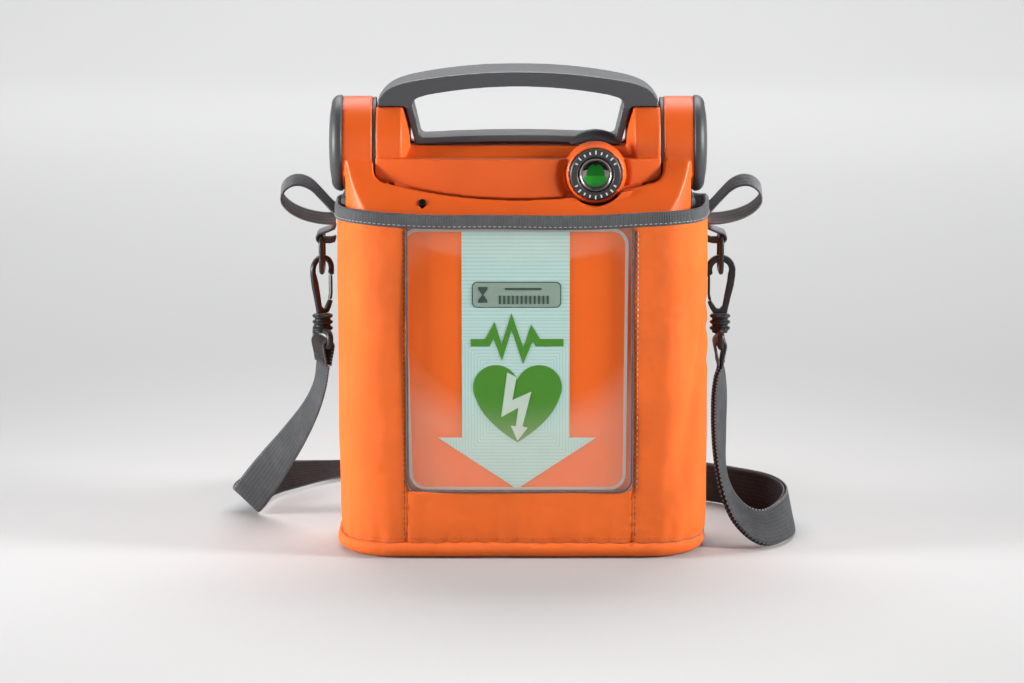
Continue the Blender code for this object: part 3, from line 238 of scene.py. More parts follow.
def cloth(name, colour):
    """Tightly woven polyester: a plain weave, soft creases, and a sheen at grazing light."""
    finish = Finish(name, colour, 0.62, Sheen_Weight=0.14, Sheen_Roughness=0.3,
                    Sheen_Tint=(1.0, 0.66, 0.34, 1), Specular_IOR_Level=0.25)
    warp, weft = (finish.wave(distance, THREAD_PITCH) for distance in finish.along())
    crossing = finish.maths("ABSOLUTE", finish.maths("SUBTRACT", warp, weft))
    finish.raise_by(crossing, 0.0001)
    for size, detail, height in ((0.0075, 4, 0.0004), (0.03, 2, 0.0016)):
        finish.raise_by(finish.noise(size, detail), height)
    body = finish.tones(finish.ramp(finish.noise(0.035, 4), 0.0, 1.0, 0.3, 0.7), 0.9, 1.07)
    thread = finish.ramp(crossing, 0.0, 0.22)
    finish.paint(finish.mix(thread, body, tinted(colour, 0.62)))
    finish.gloss(0.55, 0.74, 0.02)


def webbing(name, colour, pitch=0.00095, across_pitch=None, shade_and_dash_colour=None, width=STRAP_WIDTH):
    """Ribbed webbing: ribs across it, finer twill between them, and pale fuzz. With a dark colour
    given, one face is painted in it as shade, and both edges have a dashed selvage."""
    finish = Finish(name, colour, 0.68, Sheen_Weight=0.1 if shade_and_dash_colour else 0.35,
                    Sheen_Roughness=0.45, Sheen_Tint=(0.8, 0.84, 0.92, 1),
                    Specular_IOR_Level=0.15 if shade_and_dash_colour else 0.3)
    along, across = finish.along()
    if across_pitch:
        slant = finish.maths("ADD", along, finish.maths("MULTIPLY", across, 0.55))
        cords = finish.ramp(finish.wave(across, across_pitch), 0.45, 1.0)
        height = finish.maths("MULTIPLY", finish.wave(slant, pitch), cords)
    else:
        height = finish.maths("MULTIPLY_ADD", finish.noise(0.0005, 2), 0.25,
                              finish.wave(along, pitch))
    finish.raise_by(height, 0.00022)
    finish.raise_by(finish.noise(0.006, 3), 0.00035)
    tone = finish.ramp(height, 0.0, 1.0)
    mottle = finish.ramp(finish.noise(0.012, 4), 0.0, 0.35, 0.45, 0.75)
    woven = finish.mix(mottle, finish.tones(tone, 0.5, 1.25), tinted(colour, 1.7))
    if shade_and_dash_colour:
        # Painted shade: the face on this side of the weave map is coloured dark brown, as the
        # strap's inner face in shadow.
        inner = finish.maths("LESS_THAN", across, 0.94 * width)
        painted_shade_face = finish.mix(tone, tinted(shade_and_dash_colour, 0.6), tinted(shade_and_dash_colour, 1.3))
        woven = finish.mix(inner, woven, painted_shade_face)
        # The selvage dashes are the webbing's own pattern, dark and pale.
        to_edge = finish.maths("PINGPONG", finish.maths("ADD", across, 0.06 * width), width / 2)
        dash = finish.maths("GREATER_THAN", finish.wave(along, 0.0021), 0.5)
        edge = finish.mix(dash, tinted(shade_and_dash_colour, 0.5), tinted(colour, 3.0))
        woven = finish.mix(finish.maths("LESS_THAN", to_edge, 0.0009), woven, edge)
    finish.paint(woven)
    finish.gloss(0.6, 0.82, 0.004)


def thread(name, colour):
    finish = Finish(name, colour, 0.75, Sheen_Weight=0.3)
    twist = finish.noise(0.0004, 2)
    finish.paint(finish.tones(twist, 0.7, 1.1))
    finish.raise_by(twist, 0.00008)


def print_ink(name, colour, roughness=0.45, lines=0.0):
    """Ink on the label's film. `lines` is how strong its fine printed pattern is: level lines
    above a height, and arrow-shaped ones nested round a middle below it."""
    finish = Finish(name, colour, roughness, Specular_IOR_Level=0.15)
    tone = finish.tones(finish.noise(0.02), 0.95, 1.04)
    if lines:
        middle_x, middle_z, change_z = -0.0027, 0.098, 0.147
        x, _, z = finish.axes()
        across = finish.maths("ABSOLUTE", finish.maths("ADD", x, -middle_x))
        up = finish.maths("ABSOLUTE", finish.maths("SUBTRACT", z, middle_z))
        nearest = finish.maths("MAXIMUM", across, finish.maths("MULTIPLY", up, 0.9))
        pattern = finish.add("Mix", (0, finish.maths("GREATER_THAN", z, change_z)),
                             (2, finish.wave(nearest, 0.0018)), (3, finish.wave(z, 0.0023)),
                             data_type="FLOAT")
        fine = finish.ramp(pattern.outputs[0], 0.0, lines, 0.55, 0.9)
        tone = finish.mix(fine, tone, tinted(colour, 0.62))
    finish.paint(tone)
    finish.raise_by(finish.noise(0.0009, 2), 0.00003)


MIRROR = 0.12                  # how much of the surroundings a clear sheet shows


def see_through(name, tint, haze, roughness, clear_oval=None):
    """A clear sheet: mostly transparent, with gloss and a little milky haze. Given an oval, as its
    (middle, half size) in x and in z, the haze gathers outside it and at the top, as painted
    reflection of the floor and of the light above."""
    finish = Finish(name, tint, roughness, IOR=1.46)
    clear = finish.add("BsdfTransparent", (0, (0.995, 0.993, 0.99, 1)))
    fresnel = finish.add("Fresnel", ("IOR", 1.46)).outputs[0]
    level = haze
    if clear_oval:
        x, _, z = finish.axes()
        over = [finish.maths("POWER",
                             finish.maths("MULTIPLY_ADD", place, 1 / half, -middle / half), 2.0)
                for place, (middle, half) in zip((x, z), clear_oval)]
        # Painted reflection of the floor: haze outside the oval, at the sides and low down.
        painted_floor_reflection = finish.ramp(finish.maths("ADD", *over), 0.0, haze, 0.75, 1.45)
        # Painted reflection of the light above: a band along the top whose lower edge dips in the
        # middle.
        top_reflection_height = finish.maths("MULTIPLY_ADD", finish.maths("POWER", x, 2.0), -2.2, z)
        level = finish.maths("MAXIMUM", painted_floor_reflection, finish.ramp(top_reflection_height, 0.0, 0.5 * haze, 0.181, 0.185))
    patches = finish.ramp(finish.noise(0.035, 3), 0.8, 1.2, 0.3, 0.7)
    haze_and_painted_reflection = finish.maths("MULTIPLY", patches, level)
    share = finish.maths("MULTIPLY_ADD", fresnel, MIRROR, haze_and_painted_reflection)
    both = finish.add("MixShader", (0, share), (1, clear.outputs[0]),
                      (2, finish.shader.outputs[0]))
    output = finish.tree.nodes["Material Output"]
    finish.tree.links.new(both.outputs[0], output.inputs["Surface"])
    finish.raise_by(finish.noise(0.03, 2), 0.0008)
    finish.raise_by(finish.noise(0.008, 3), 0.00006)


def studio_paper(name, colour):
    finish = Finish(name, colour, 0.85)
    finish.paint(finish.tones(finish.noise(0.4), 0.985, 1.01))


def make_materials():
    strap = {"pitch": 0.0012, "across_pitch": 0.0026}
    flag = {"wear": 0, "shine": 0.1}
    plastic("orange_shell", (0.78, 0.112, 0.012), 0.42, relief=0.00003, wear=0.1, shine=0.35)
    plastic("grey_shell", (0.062, 0.063, 0.069), 0.36, relief=0.00006, wear=0.15, shine=0.5)
    plastic("grey_rubber", (0.05, 0.051, 0.054), 0.42, wear=0.15)
    plastic("bezel_plastic", (0.034, 0.032, 0.034), 0.4, wear=0.1)
    plastic("black_plastic", (0.013, 0.013, 0.013), 0.38, wear=0.06, shine=0.3)
    plastic("shock_red", (0.62, 0.03, 0.018), 0.3, wear=0.2)
    plastic("flag_green", (0.01, 0.33, 0.02), 0.5, **flag)
    plastic("flag_bright", (0.04, 0.64, 0.06), 0.5, **flag)
    plastic("flag_dark", (0.01, 0.012, 0.011), 0.45, **flag)
    plastic("flag_sides", (0.48, 0.44, 0.4), 0.45)
    cloth("orange_fabric", (0.85, 0.142, 0.014))
    webbing("rim_webbing", tinted((0.07, 0.071, 0.074), 0.85))
    # The strap's dark brown inner face is painted shade.
    webbing("strap_webbing", (0.058, 0.059, 0.062), shade_and_dash_colour=(0.018, 0.01, 0.009), **strap)
    webbing("loop_webbing", (0.14, 0.14, 0.144), **strap)
    webbing("tab_webbing", (0.06, 0.06, 0.063), **strap)
    webbing("piping", (0.075, 0.074, 0.078), 0.0009)
    thread("pale_thread", (0.5, 0.5, 0.5))
    thread("dark_thread", (0.03, 0.026, 0.025))
    thread("orange_thread", (0.45, 0.085, 0.015))
    # The vinyl's haze outside its oval and along its top is painted reflection.
    see_through("clear_vinyl", (1.0, 0.88, 0.72), 0.085, 0.07,
                clear_oval=((-0.001, 0.08), (0.15, 0.062)))
    see_through("clear_lens", (0.92, 0.95, 0.93), 0.0, 0.05)
    metal("steel", (0.6, 0.6, 0.62), 0.32)
    metal("silver", (0.36, 0.31, 0.31), 0.3)
    foil("pack_foil", (0.74, 0.76, 0.78))
    board("circuit_board", (0.02, 0.16, 0.06))
    screen("screen", (0.045, 0.052, 0.04))
    studio_paper("paper", PAPER)
    print_ink("orange_label", (0.94, 0.15, 0.012))
    print_ink("pack_print", (0.82, 0.15, 0.03), 0.5)
    print_ink("border", (0.6, 0.57, 0.54))
    print_ink("mint", (0.52, 0.74, 0.71), lines=0.4)
    print_ink("ink_green", (0.07, 0.27, 0.026))
    print_ink("ink_pale", (0.56, 0.69, 0.6))
    print_ink("badge", (0.29, 0.39, 0.33))
    print_ink("badge_dark", (0.05, 0.09, 0.072))
    print_ink("white_print", (0.72, 0.73, 0.75))


def foil(name, colour):
    finish = Finish(name, colour, 0.34, Metallic=0.35)
    finish.raise_by(finish.cells(0.012), 0.0009)
    finish.raise_by(finish.noise(0.004, 4), 0.0003)
    finish.paint(finish.tones(finish.noise(0.02), 0.85, 1.08))
    finish.gloss(0.25, 0.45, 0.006)


def board(name, colour):
    finish = Finish(name, colour, 0.42)
    x, _, z = finish.axes()
    tracks = finish.maths("MULTIPLY", finish.wave(x, 0.0031), finish.wave(z, 0.0047))
    track = finish.ramp(tracks, 0.0, 1.0, 0.62, 0.7)
    finish.paint(finish.mix(track, tinted(colour, 0.8), (0.06, 0.28, 0.1)))
    finish.raise_by(track, 0.00005)


def screen(name, colour):
    finish = Finish(name, colour, 0.22)
    x, _, z = finish.axes()
    dots = finish.maths("MULTIPLY", finish.wave(x, 0.0011), finish.wave(z, 0.0011))
    finish.paint(finish.mix(finish.ramp(dots, 0.0, 0.6), colour, (0.1, 0.12, 0.085)))
    finish.raise_by(dots, 0.00002)


# Shape helpers


TOOLS = []


def mm(*values):
    """Points in metres, from the two places of each in turn in millimetres."""
    return [(u / 1000, v / 1000) for u, v in zip(values[::2], values[1::2])]


def arc(centre, radius, start, end, steps=16):
    """Points on an arc about a centre in a plane, with its angles in degrees."""
    turns = [radians(start + (end - start) * step / steps) for step in range(steps + 1)]
    return [(centre[0] + radius * cos(a), centre[1] + radius * sin(a)) for a in turns]


def rounded(left, right, low, high, radius, steps=10):
    """A rectangle's outline, with one radius or one for each corner from the low left round."""
    radii = radius if isinstance(radius, tuple) else (radius,) * 4
    corners = (
        (left + radii[0], low + radii[0], 180, 270, radii[0]),
        (right - radii[1], low + radii[1], 270, 360, radii[1]),
        (right - radii[2], high - radii[2], 0, 90, radii[2]),
        (left + radii[3], high - radii[3], 90, 180, radii[3]),
    )
    outline = []
    for u, v, start, end, size in corners:
        outline += arc((u, v), size, start, end, steps) if size else [(u, v)]
    return outline


def mirrored(half):
    """An outline's one half, and then the same the other way round across the middle."""
    return [*half, *((-u, v) for u, v in reversed(half))]


def smooth(route, steps):
    """Points along a Catmull-Rom curve through a route of equal-length tuples."""
    points = [Vector(place) for place in route]
    ends = [2 * points[0] - points[1], *points, 2 * points[-1] - points[-2]]
    found = []
    for a, b, c, d in zip(ends, ends[1:], ends[2:], ends[3:]):
        for step in range(steps):
            t = step / steps
            found.append(
                (2 * b + (c - a) * t + (2 * a - 5 * b + 4 * c - d) * t * t
                 + (3 * b - a - 3 * c + d) * t**3) / 2
            )
    return [*found, points[-1]]


def length_of(points):
    return sum((b - a).length for a, b in zip(points, points[1:]))


def add_object(name, data, material=None):
    obj = bpy.data.objects.new(name, data)
    bpy.context.scene.collection.objects.link(obj)
    if material:
        data.materials.append(MATERIALS[material])
    return obj


@contextmanager
def editing(mesh):
    """The mesh as a bmesh, which is written back to it at the end."""
    bm = bmesh.new()
    bm.from_mesh(mesh)
    yield bm
    bm.to_mesh(mesh)
    bm.free()


def modify(obj, kind, **settings):
    modifier = obj.modifiers.new(kind, kind)
    for name, value in settings.items():
        setattr(modifier, name, value)
    return obj


def evaluated(obj):
    graph = bpy.context.evaluated_depsgraph_get()
    return bpy.data.meshes.new_from_object(obj.evaluated_get(graph))


def settle(obj):
    """Turns an object's modifiers into its own mesh."""
    mesh = evaluated(obj)
    obj.modifiers.clear()
    obj.data = mesh
    return obj


def prism(name, outlines, axis, low, high, material=None, centre_x=CASE_X):
    """A flat outline, and any holes in it, drawn out along an axis. With no material, a tool."""
    if not isinstance(outlines[0], list):
        outlines = [outlines]
    curve = bpy.data.curves.new(name, "CURVE")
    curve.dimensions = "2D"
    curve.fill_mode = "BOTH"
    curve.extrude = (high - low) / 2
    for outline in outlines:
        spline = curve.splines.new("POLY")
        spline.points.add(len(outline) - 1)
        for point, (u, v) in zip(spline.points, outline):
            point.co = (u, v, 0, 1)
        spline.use_cyclic_u = True
    guide = add_object(f"{name}_guide", curve)
    bm = bmesh.new()
    bm.from_mesh(evaluated(guide))
    bpy.data.objects.remove(guide)
    bmesh.ops.remove_doubles(bm, verts=bm.verts, dist=1e-6)
    bmesh.ops.dissolve_limit(bm, angle_limit=radians(0.2), verts=bm.verts, edges=bm.edges)
    middle = DIRECTIONS[axis] * (low + high) / 2
    place = Matrix.Translation(middle + Vector((centre_x, 0, 0))) @ PLANES[axis]
    bmesh.ops.transform(bm, matrix=place, verts=bm.verts)
    return finished(name, bm, material)


def finished(name, bm, material):
    bmesh.ops.recalc_face_normals(bm, faces=bm.faces)
    mesh = bpy.data.meshes.new(name)
    bm.to_mesh(mesh)
    bm.free()
    obj = add_object(name, mesh, material)
    if not material:
        obj.hide_render = True
        TOOLS.append(obj)
    return obj


def block(name, x, y, z):
    """A box to cut with, between two places each way."""
    bm = bmesh.new()
    bmesh.ops.create_cube(bm, size=1)
    size = Matrix.Diagonal((x[1] - x[0], y[1] - y[0], z[1] - z[0], 1))
    middle = Vector((CASE_X + (x[0] + x[1]) / 2, (y[0] + y[1]) / 2, (z[0] + z[1]) / 2))
    bmesh.ops.transform(bm, matrix=Matrix.Translation(middle) @ size, verts=bm.verts)
    return finished(name, bm, None)


def lathe(name, profile, axis, at, material=None, centre_x=CASE_X, steps=96):
    """A profile of (radius, place along the axis), turned about the axis."""
    bm = bmesh.new()
    rings = []
    for radius, along in profile:
        ring = []
        for step in range(steps):
            turn = 2 * pi * step / steps
            u, v = max(radius, 1e-6) * cos(turn), max(radius, 1e-6) * sin(turn)
            place = PLANES[axis] @ Vector((u, v, 0)) + DIRECTIONS[axis] * along
            ring.append(bm.verts.new(place))
        rings.append(ring)
    for first, second in zip(rings, rings[1:]):
        for step in range(steps):
            after = (step + 1) % steps
            bm.faces.new((first[step], first[after], second[after], second[step]))
    bmesh.ops.remove_doubles(bm, verts=bm.verts, dist=4e-6)
    if profile[0] != profile[-1]:
        bmesh.ops.holes_fill(bm, edges=bm.edges)
    across = {"X": (0, at[0], at[1]), "Y": (at[0], 0, at[1]), "Z": (at[0], at[1], 0)}[axis]
    shift = Matrix.Translation(Vector(across) + Vector((centre_x, 0, 0)))
    bmesh.ops.transform(bm, matrix=shift, verts=bm.verts)
    return finished(name, bm, material)


def rod(name, radius, axis, low, high, at, steps=96):
    """A cylinder to cut with."""
    return lathe(name, [(0, low), (radius, low), (radius, high), (0, high)], axis, at,
                 steps=steps)


def bevel(obj, width, segments=3, angle=35):
    return modify(obj, "BEVEL", width=width, segments=segments, limit_method="ANGLE",
                  angle_limit=radians(angle))


def combine(obj, tool, operation="DIFFERENCE"):
    return modify(obj, "BOOLEAN", operation=operation, object=tool)


def shade_round(obj, angle=35):
    obj.data.shade_smooth()
    if angle:
        obj.data.set_sharp_from_angle(angle=radians(angle))
    return obj


def moulded(obj, voxel=0.0008, passes=4, keep=0.22):
    """Rounds a solid's edges as a mould does: a fine even mesh, smoothed, then thinned out."""
    settle(obj)
    modify(obj, "REMESH", mode="VOXEL", voxel_size=voxel * 1)
    modify(obj, "SMOOTH", factor=0.5, iterations=passes)
    modify(obj, "DECIMATE", ratio=keep)
    settle(obj)
    obj.data.shade_smooth()
    return obj


def clear_tools():
    for tool in TOOLS:
        bpy.data.objects.remove(tool)
    TOOLS.clear()


def grid(name, rows, material, closed=False, caps=False, maps=None):
    """A mesh on rows of points. `closed` joins each row's ends, and `caps` fills the first and
    last row. The weave map is the distance along and across, or what `maps` gives."""
    count = len(rows[0])
    verts = [tuple(point) for row in rows for point in row]
    faces, corners = [], []
    along = [0.0]
    for first, second in zip(rows, rows[1:]):
        along.append(along[-1] + (Vector(second[0]) - Vector(first[0])).length)
    across = [0.0]
    for first, second in zip(rows[0], [*rows[0][1:], rows[0][0]]):
        across.append(across[-1] + (Vector(second) - Vector(first)).length)
    for r in range(len(rows) - 1):
        for c in range(count if closed else count - 1):
            after = (c + 1) % count
            faces.append((r * count + c, r * count + after, (r + 1) * count + after,
                          (r + 1) * count + c))
            if maps:
                corners += [maps[r][c], maps[r][after], maps[r + 1][after], maps[r + 1][c]]
            else:
                corners += [(along[r], across[c]), (along[r], across[c + 1]),
                            (along[r + 1], across[c + 1]), (along[r + 1], across[c])]
    if caps:
        last = (len(rows) - 1) * count
        for face in (tuple(reversed(range(count))), tuple(range(last, last + count))):
            faces.append(face)
            corners += [(0.0, across[index % count]) for index in range(count)]
    mesh = bpy.data.meshes.new(name)
    mesh.from_pydata(verts, [], faces)
    layer = mesh.uv_layers.new(name="weave")
    for loop, corner in zip(layer.data, corners):
        loop.uv = corner
    mesh.update()
    obj = add_object(name, mesh, material)
    obj.data.shade_smooth()
    return obj


def tube(name, route, radius, material, sides=12, cyclic=False):
    """A round bar along a route."""
    points = [Vector(place) for place in route]
    count = len(points)
    rows, up = [], None
    for index, point in enumerate(points):
        ahead = points[(index + 1) % count] if cyclic else points[min(index + 1, count - 1)]
        behind = points[index - 1] if cyclic else points[max(index - 1, 0)]
        forward = (ahead - behind).normalized()
        if up is None:
            up = forward.orthogonal().normalized()
        up = (up - forward * up.dot(forward)).normalized()
        side = forward.cross(up)
        rows.append([point + (up * cos(a) + side * sin(a)) * radius
                     for a in [2 * pi * step / sides for step in range(sides)]])
    if cyclic:
        rows.append(rows[0])
    obj = grid(name, rows, material, closed=True, caps=not cyclic)
    if cyclic:
        with editing(obj.data) as bm:
            bmesh.ops.remove_doubles(bm, verts=bm.verts, dist=1e-6)
    return obj


def stitches(name, path, material, length=0.0021, pitch=0.0033, radius=0.00024, sides=5):
    """A row of separate stitches along a path, each sunk at its two ends."""
    points = [Vector(place) for place in path]
    total = length_of(points)
    bm = bmesh.new()

    def at(distance):
        for a, b in zip(points, points[1:]):
            step = (b - a).length
            if distance <= step:
                return a + (b - a) * (distance / step if step else 0)
            distance -= step
        return points[-1]

    for index in range(int(total / pitch)):
        start, end = at(index * pitch), at(index * pitch + length)
        forward = (end - start).normalized()
        up = forward.orthogonal().normalized()
        side = forward.cross(up)
        rings = []
        for share, size in ((0, 0.35), (0.2, 0.9), (0.8, 0.9), (1, 0.35)):
            middle = start.lerp(end, share)
            rings.append([bm.verts.new(middle + (up * cos(a) + side * sin(a)) * radius * size)
                          for a in [2 * pi * step / sides for step in range(sides)]])
        for first, second in zip(rings, rings[1:]):
            for step in range(sides):
                after = (step + 1) % sides
                bm.faces.new((first[step], first[after], second[after], second[step]))
        bm.faces.new(reversed(rings[0]))
        bm.faces.new(rings[-1])
    obj = finished(name, bm, material)
    obj.data.shade_smooth()
    return obj


def belong(obj, body, replaces=()):
    """Says which body a piece moves with, and the nodes it stands for."""
    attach(obj, body)
    if replaces:
        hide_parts(*([replaces] if isinstance(replaces, str) else replaces))
    return obj


def step_up(value, start, end):
    """0 before the start, 1 after the end, and a smooth rise between them."""
    share = min(1.0, max(0.0, (value - start) / (end - start)))
    return share * share * (3 - 2 * share)


# The camera, the lights and the backdrop


WORLD_COLOUR, WORLD_STRENGTH = (0.93, 0.95, 1.0, 1), 0.12
PAPER_REACH, CURVE_Y, CURVE_RADIUS = 4.0, 2.4, 0.9
# Each light's name, place, target, size, power and spread.
PAPER = (0.46, 0.46, 0.46)
LIGHTS = (
    ("top", (0.0, 0.95, 1.5), (0.0, 0.25, 0.0), (1.9, 1.0), 38.0, 180),
    ("left", (-1.1, -0.2, 0.3), (-0.02, 0.0, 0.15), (0.3, 0.4), 2.8, 60),
    ("right", (1.1, -0.25, 0.44), (0.02, 0.0, 0.19), (0.25, 0.35), 2.2, 55),
    ("front", (0.0, -2.3, 0.4), (0.0, 0.0, 0.1), (1.6, 0.5), 3.6, 180),
    ("floor", (0.0, -0.6, 1.0), (0.0, -0.6, 0.0), (0.9, 0.3), 2.0, 60),
    ("wall", (0.0, 2.05, 1.3), (0.0, 3.1, 0.1), (3.6, 0.8), 50.0, 180),
)
CAMERA_PLACE, CAMERA_TILT, CAMERA_LENS = (-0.0057, -2.1596, 0.5448), 79, 126.4


def make_camera():
    data = bpy.data.cameras.new("camera")
    data.lens = CAMERA_LENS
    data.sensor_width = 36
    camera = add_object("camera", data)
    camera.location = CAMERA_PLACE
    camera.rotation_euler = (radians(CAMERA_TILT), 0, 0)
    bpy.context.scene.camera = camera


def make_light(name, place, target, size, energy, spread):
    data = bpy.data.lights.new(name, "AREA")
    data.shape = "RECTANGLE"
    data.size, data.size_y = size
    data.energy = energy
    data.spread = radians(spread)
    light = add_object(name, data)
    light.location = place
    aim = Vector(target) - Vector(place)
    light.rotation_euler = aim.to_track_quat("-Z", "Y").to_euler()


def make_studio():
    """A pale sweep of paper, with lights above it, before it, at its sides and on its wall."""
    scene = bpy.context.scene
    scene.view_settings.view_transform = "Standard"
    world = bpy.data.worlds.new("studio")
    world.use_nodes = True
    sky = world.node_tree.nodes["Background"].inputs
    sky[0].default_value, sky[1].default_value = WORLD_COLOUR, WORLD_STRENGTH
    scene.world = world
    profile = [(-PAPER_REACH, 0.0), *arc((CURVE_Y, CURVE_RADIUS), CURVE_RADIUS, 270, 360, 24),
               (CURVE_Y + CURVE_RADIUS, 3.2)]
    rows = [[(x, y, z - 0.00005) for x in (-PAPER_REACH, 0.0, PAPER_REACH)] for y, z in profile]
    grid("backdrop", rows, "paper")
    for light in LIGHTS:
        make_light(*light)


# The shoulder strap, its pull loops and its hardware


def web(name, middles, across, width, thickness, offset=0.0, material="strap_webbing"):
    """Webbing with softly rounded edges, whose middle line and direction across are given."""
    half, thin = width / 2, thickness / 2
    outline = [(half * share, thin) for share in (-0.88, -0.6, -0.3, 0, 0.3, 0.6, 0.88)]
    outline += [(half * 0.97, thin * 0.75), (half, 0.0), (half * 0.97, -thin * 0.75)]
    outline += [(-u, -v) for u, v in outline[:7]]
    outline += [(-half * 0.97, -thin * 0.75), (-half, 0.0), (-half * 0.97, thin * 0.75)]
    rows = []
    for index, (middle, way) in enumerate(zip(middles, across)):
        ahead = middles[min(index + 1, len(middles) - 1)]
        behind = middles[max(index - 1, 0)]
        side = Vector(way).normalized()
        face = side.cross((ahead - behind).normalized()).normalized()
        rows.append([middle + side * u + face * (v + offset) for u, v in outline])
    return grid(name, rows, material, closed=True, caps=True)


def make_strap():
    steps = 7
    for name, route, ply in (
        ("strap_left", STRAP_LEFT, 0),
        ("strap_right_outer", STRAP_RIGHT, 1),
        ("strap_right_inner", STRAP_RIGHT, -1),
    ):
        middles = smooth([row[:3] for row in route], steps)
        across = smooth([row[3:] for row in route], steps)
        offset = ply * (PLY_GAP + STRAP_THICKNESS) / 2
        piece = web(f"{name}_webbing", middles, across, STRAP_WIDTH, STRAP_THICKNESS, offset)
        belong(piece, "sleeve", name)


def make_pull_loop(side):
    sign = SIDES[side]
    route = smooth([(sign * x, y, z) for x, y, z in LOOP_ROUTE], 8)
    across = [Vector(LOOP_ACROSS)] * len(route)
    loop = web(f"pull_loop_{side}_webbing", route, across, LOOP_WIDTH, LOOP_THICKNESS,
               material="loop_webbing")
    belong(loop, "sleeve", f"pull_loop_{side}")


def make_ring_tab(side):
    """A fold of webbing from the side seam, round the ring's top bar, sewn across its root."""
    sign = SIDES[side]
    root = SLEEVE_HALF_WIDTH + 0.0006
    reach = TAB_FOLD - 0.0008
    route = [(root, RING_TOP - 0.0016), (root + 0.003, RING_TOP - 0.0024)]
    route += arc((RING_X, RING_TOP), reach, 235, 420, 22)
    route += [(root + 0.004, RING_TOP + 0.0044), (root, RING_TOP + 0.0062)]
    middles = [Vector((sign * x, 0, z)) for x, z in route]
    across = [Vector((0, sign, 0))] * len(middles)
    tab = web(f"ring_tab_{side}_webbing", middles, across, 2 * TAB_HALF_WIDTH, 0.0015,
              material="tab_webbing")
    belong(tab, "sleeve", f"ring_tab_{side}")
    path = [(sign * (root + 0.0024), y, RING_TOP + 0.0062) for y in (-0.009, 0.009)]
    belong(stitches(f"ring_tab_{side}_stitches", path, "pale_thread"), "sleeve")


def make_ring(side):
    outline = rounded(-RING_HALF_WIDTH, RING_HALF_WIDTH, RING_LOW, RING_TOP,
                      (0.008, 0.008, 0.0035, 0.0035), 10)
    route = [(SIDES[side] * RING_X, y, z) for y, z in outline]
    ring = tube(f"ring_{side}_moulding", route, RING_WIRE, "black_plastic", cyclic=True)
    belong(ring, f"ring_{side}", f"ring_{side}")


def turned_plate(name, outlines, side, thickness, material):
    """A flat plate in the hook's own plane, from outlines of (out, up) from its base."""
    plate = prism(name, outlines, "Y", -thickness / 2, thickness / 2, material, centre_x=0)
    settle(bevel(plate, 0.0007, 3, 40))
    sign, turn = SIDES[side], HOOK_TURN[side]
    flip = Matrix.Diagonal((sign, 1, 1, 1))
    spin = Matrix.Rotation(-sign * turn, 4, "Z")
    place = Matrix.Translation((sign * SWIVEL_X, 0, HOOK_BASE))
    with editing(plate.data) as bm:
        bmesh.ops.transform(bm, matrix=place @ spin @ flip, verts=bm.verts)
        bmesh.ops.recalc_face_normals(bm, faces=bm.faces)
    return shade_round(plate, 40)


def make_hook(side):
    """A flat moulded snap hook: a lug at its base, a tapered spine, a round top and a nose."""
    crown = (0.0, 0.0272)
    outline = mm(-4.2, 0.2, 4.2, 0.2, 4.7, 3, 6.2, 10, 8.1, 17.5, 9, 24)
    outline += arc(crown, 0.0091, -8, 186, 28)
    outline += mm(-9, 24, -8.2, 22.8, -6.4, 23.6)
    outline += arc(crown, HOOK_BORE[side], 205, -25, 28)
    outline += mm(4, 19.5, 2.4, 11, 1.4, 5, -0.4, 2.8, -2.4, 3.4, -5.6, 8.2, -7.8, 7.2, -6.2, 3.4)
    hook = turned_plate(f"hook_{side}_plate", outline, side, HOOK_THICKNESS[side], "black_plastic")
    belong(hook, "sleeve", f"hook_{side}")
    left, low = GATE_PIVOT[0] - 0.0008, GATE_PIVOT[1] + 0.0016
    strip = [(left, low), (left - 0.0006, 0.012), (left - 0.0006, 0.018), (-0.0077, 0.0229),
             (-0.0062, 0.0233), (left + 0.001, 0.0176), (left + 0.001, 0.012),
             (left + 0.0019, low)]
    gate = turned_plate(f"gate_{side}_spring", strip, side, 0.0026, "black_plastic")
    belong(gate, f"gate_{side}", f"gate_{side}")


def make_swivel(side):
    """A ribbed collar under the hook, and a flat eye whose lower bar holds the webbing."""
    x, turn = SIDES[side] * SWIVEL_X, EYE_TURN[side]
    profile = [(0, HOOK_BASE - 0.0003), (0.004, HOOK_BASE - 0.0003)]
    for rib in range(RIBS):
        high = HOOK_BASE - 0.0004 - rib * RIB_PITCH
        for drop, out in ((0.0, 0.86), (0.0004, 0.96), (0.001, 1.0), (0.0016, 0.96),
                          (0.0021, 0.86)):
            profile.append((RIB_RADIUS * out, high - drop))
        profile += [(RIB_GROOVE, high - 0.0026), (RIB_GROOVE, high - 0.0036)]
    profile += [(0, HOOK_BASE - RIBS * RIB_PITCH)]
    collar = lathe(f"swivel_{side}_collar", profile, "Z", (x, 0), "black_plastic", 0, 48)
    shade_round(collar)
    belong(collar, f"swivel_{side}", f"swivel_{side}")
    outline = rounded(-EYE_HALF_WIDTH, EYE_HALF_WIDTH, EYE_BAR_Z, EYE_TOP_Z, 0.0036, 8)
    route = [(x - y * sin(turn), y * cos(turn), z) for y, z in outline]
    eye = tube(f"swivel_{side}_eye", route, EYE_BAR, "black_plastic", cyclic=True)
    belong(eye, f"swivel_{side}")


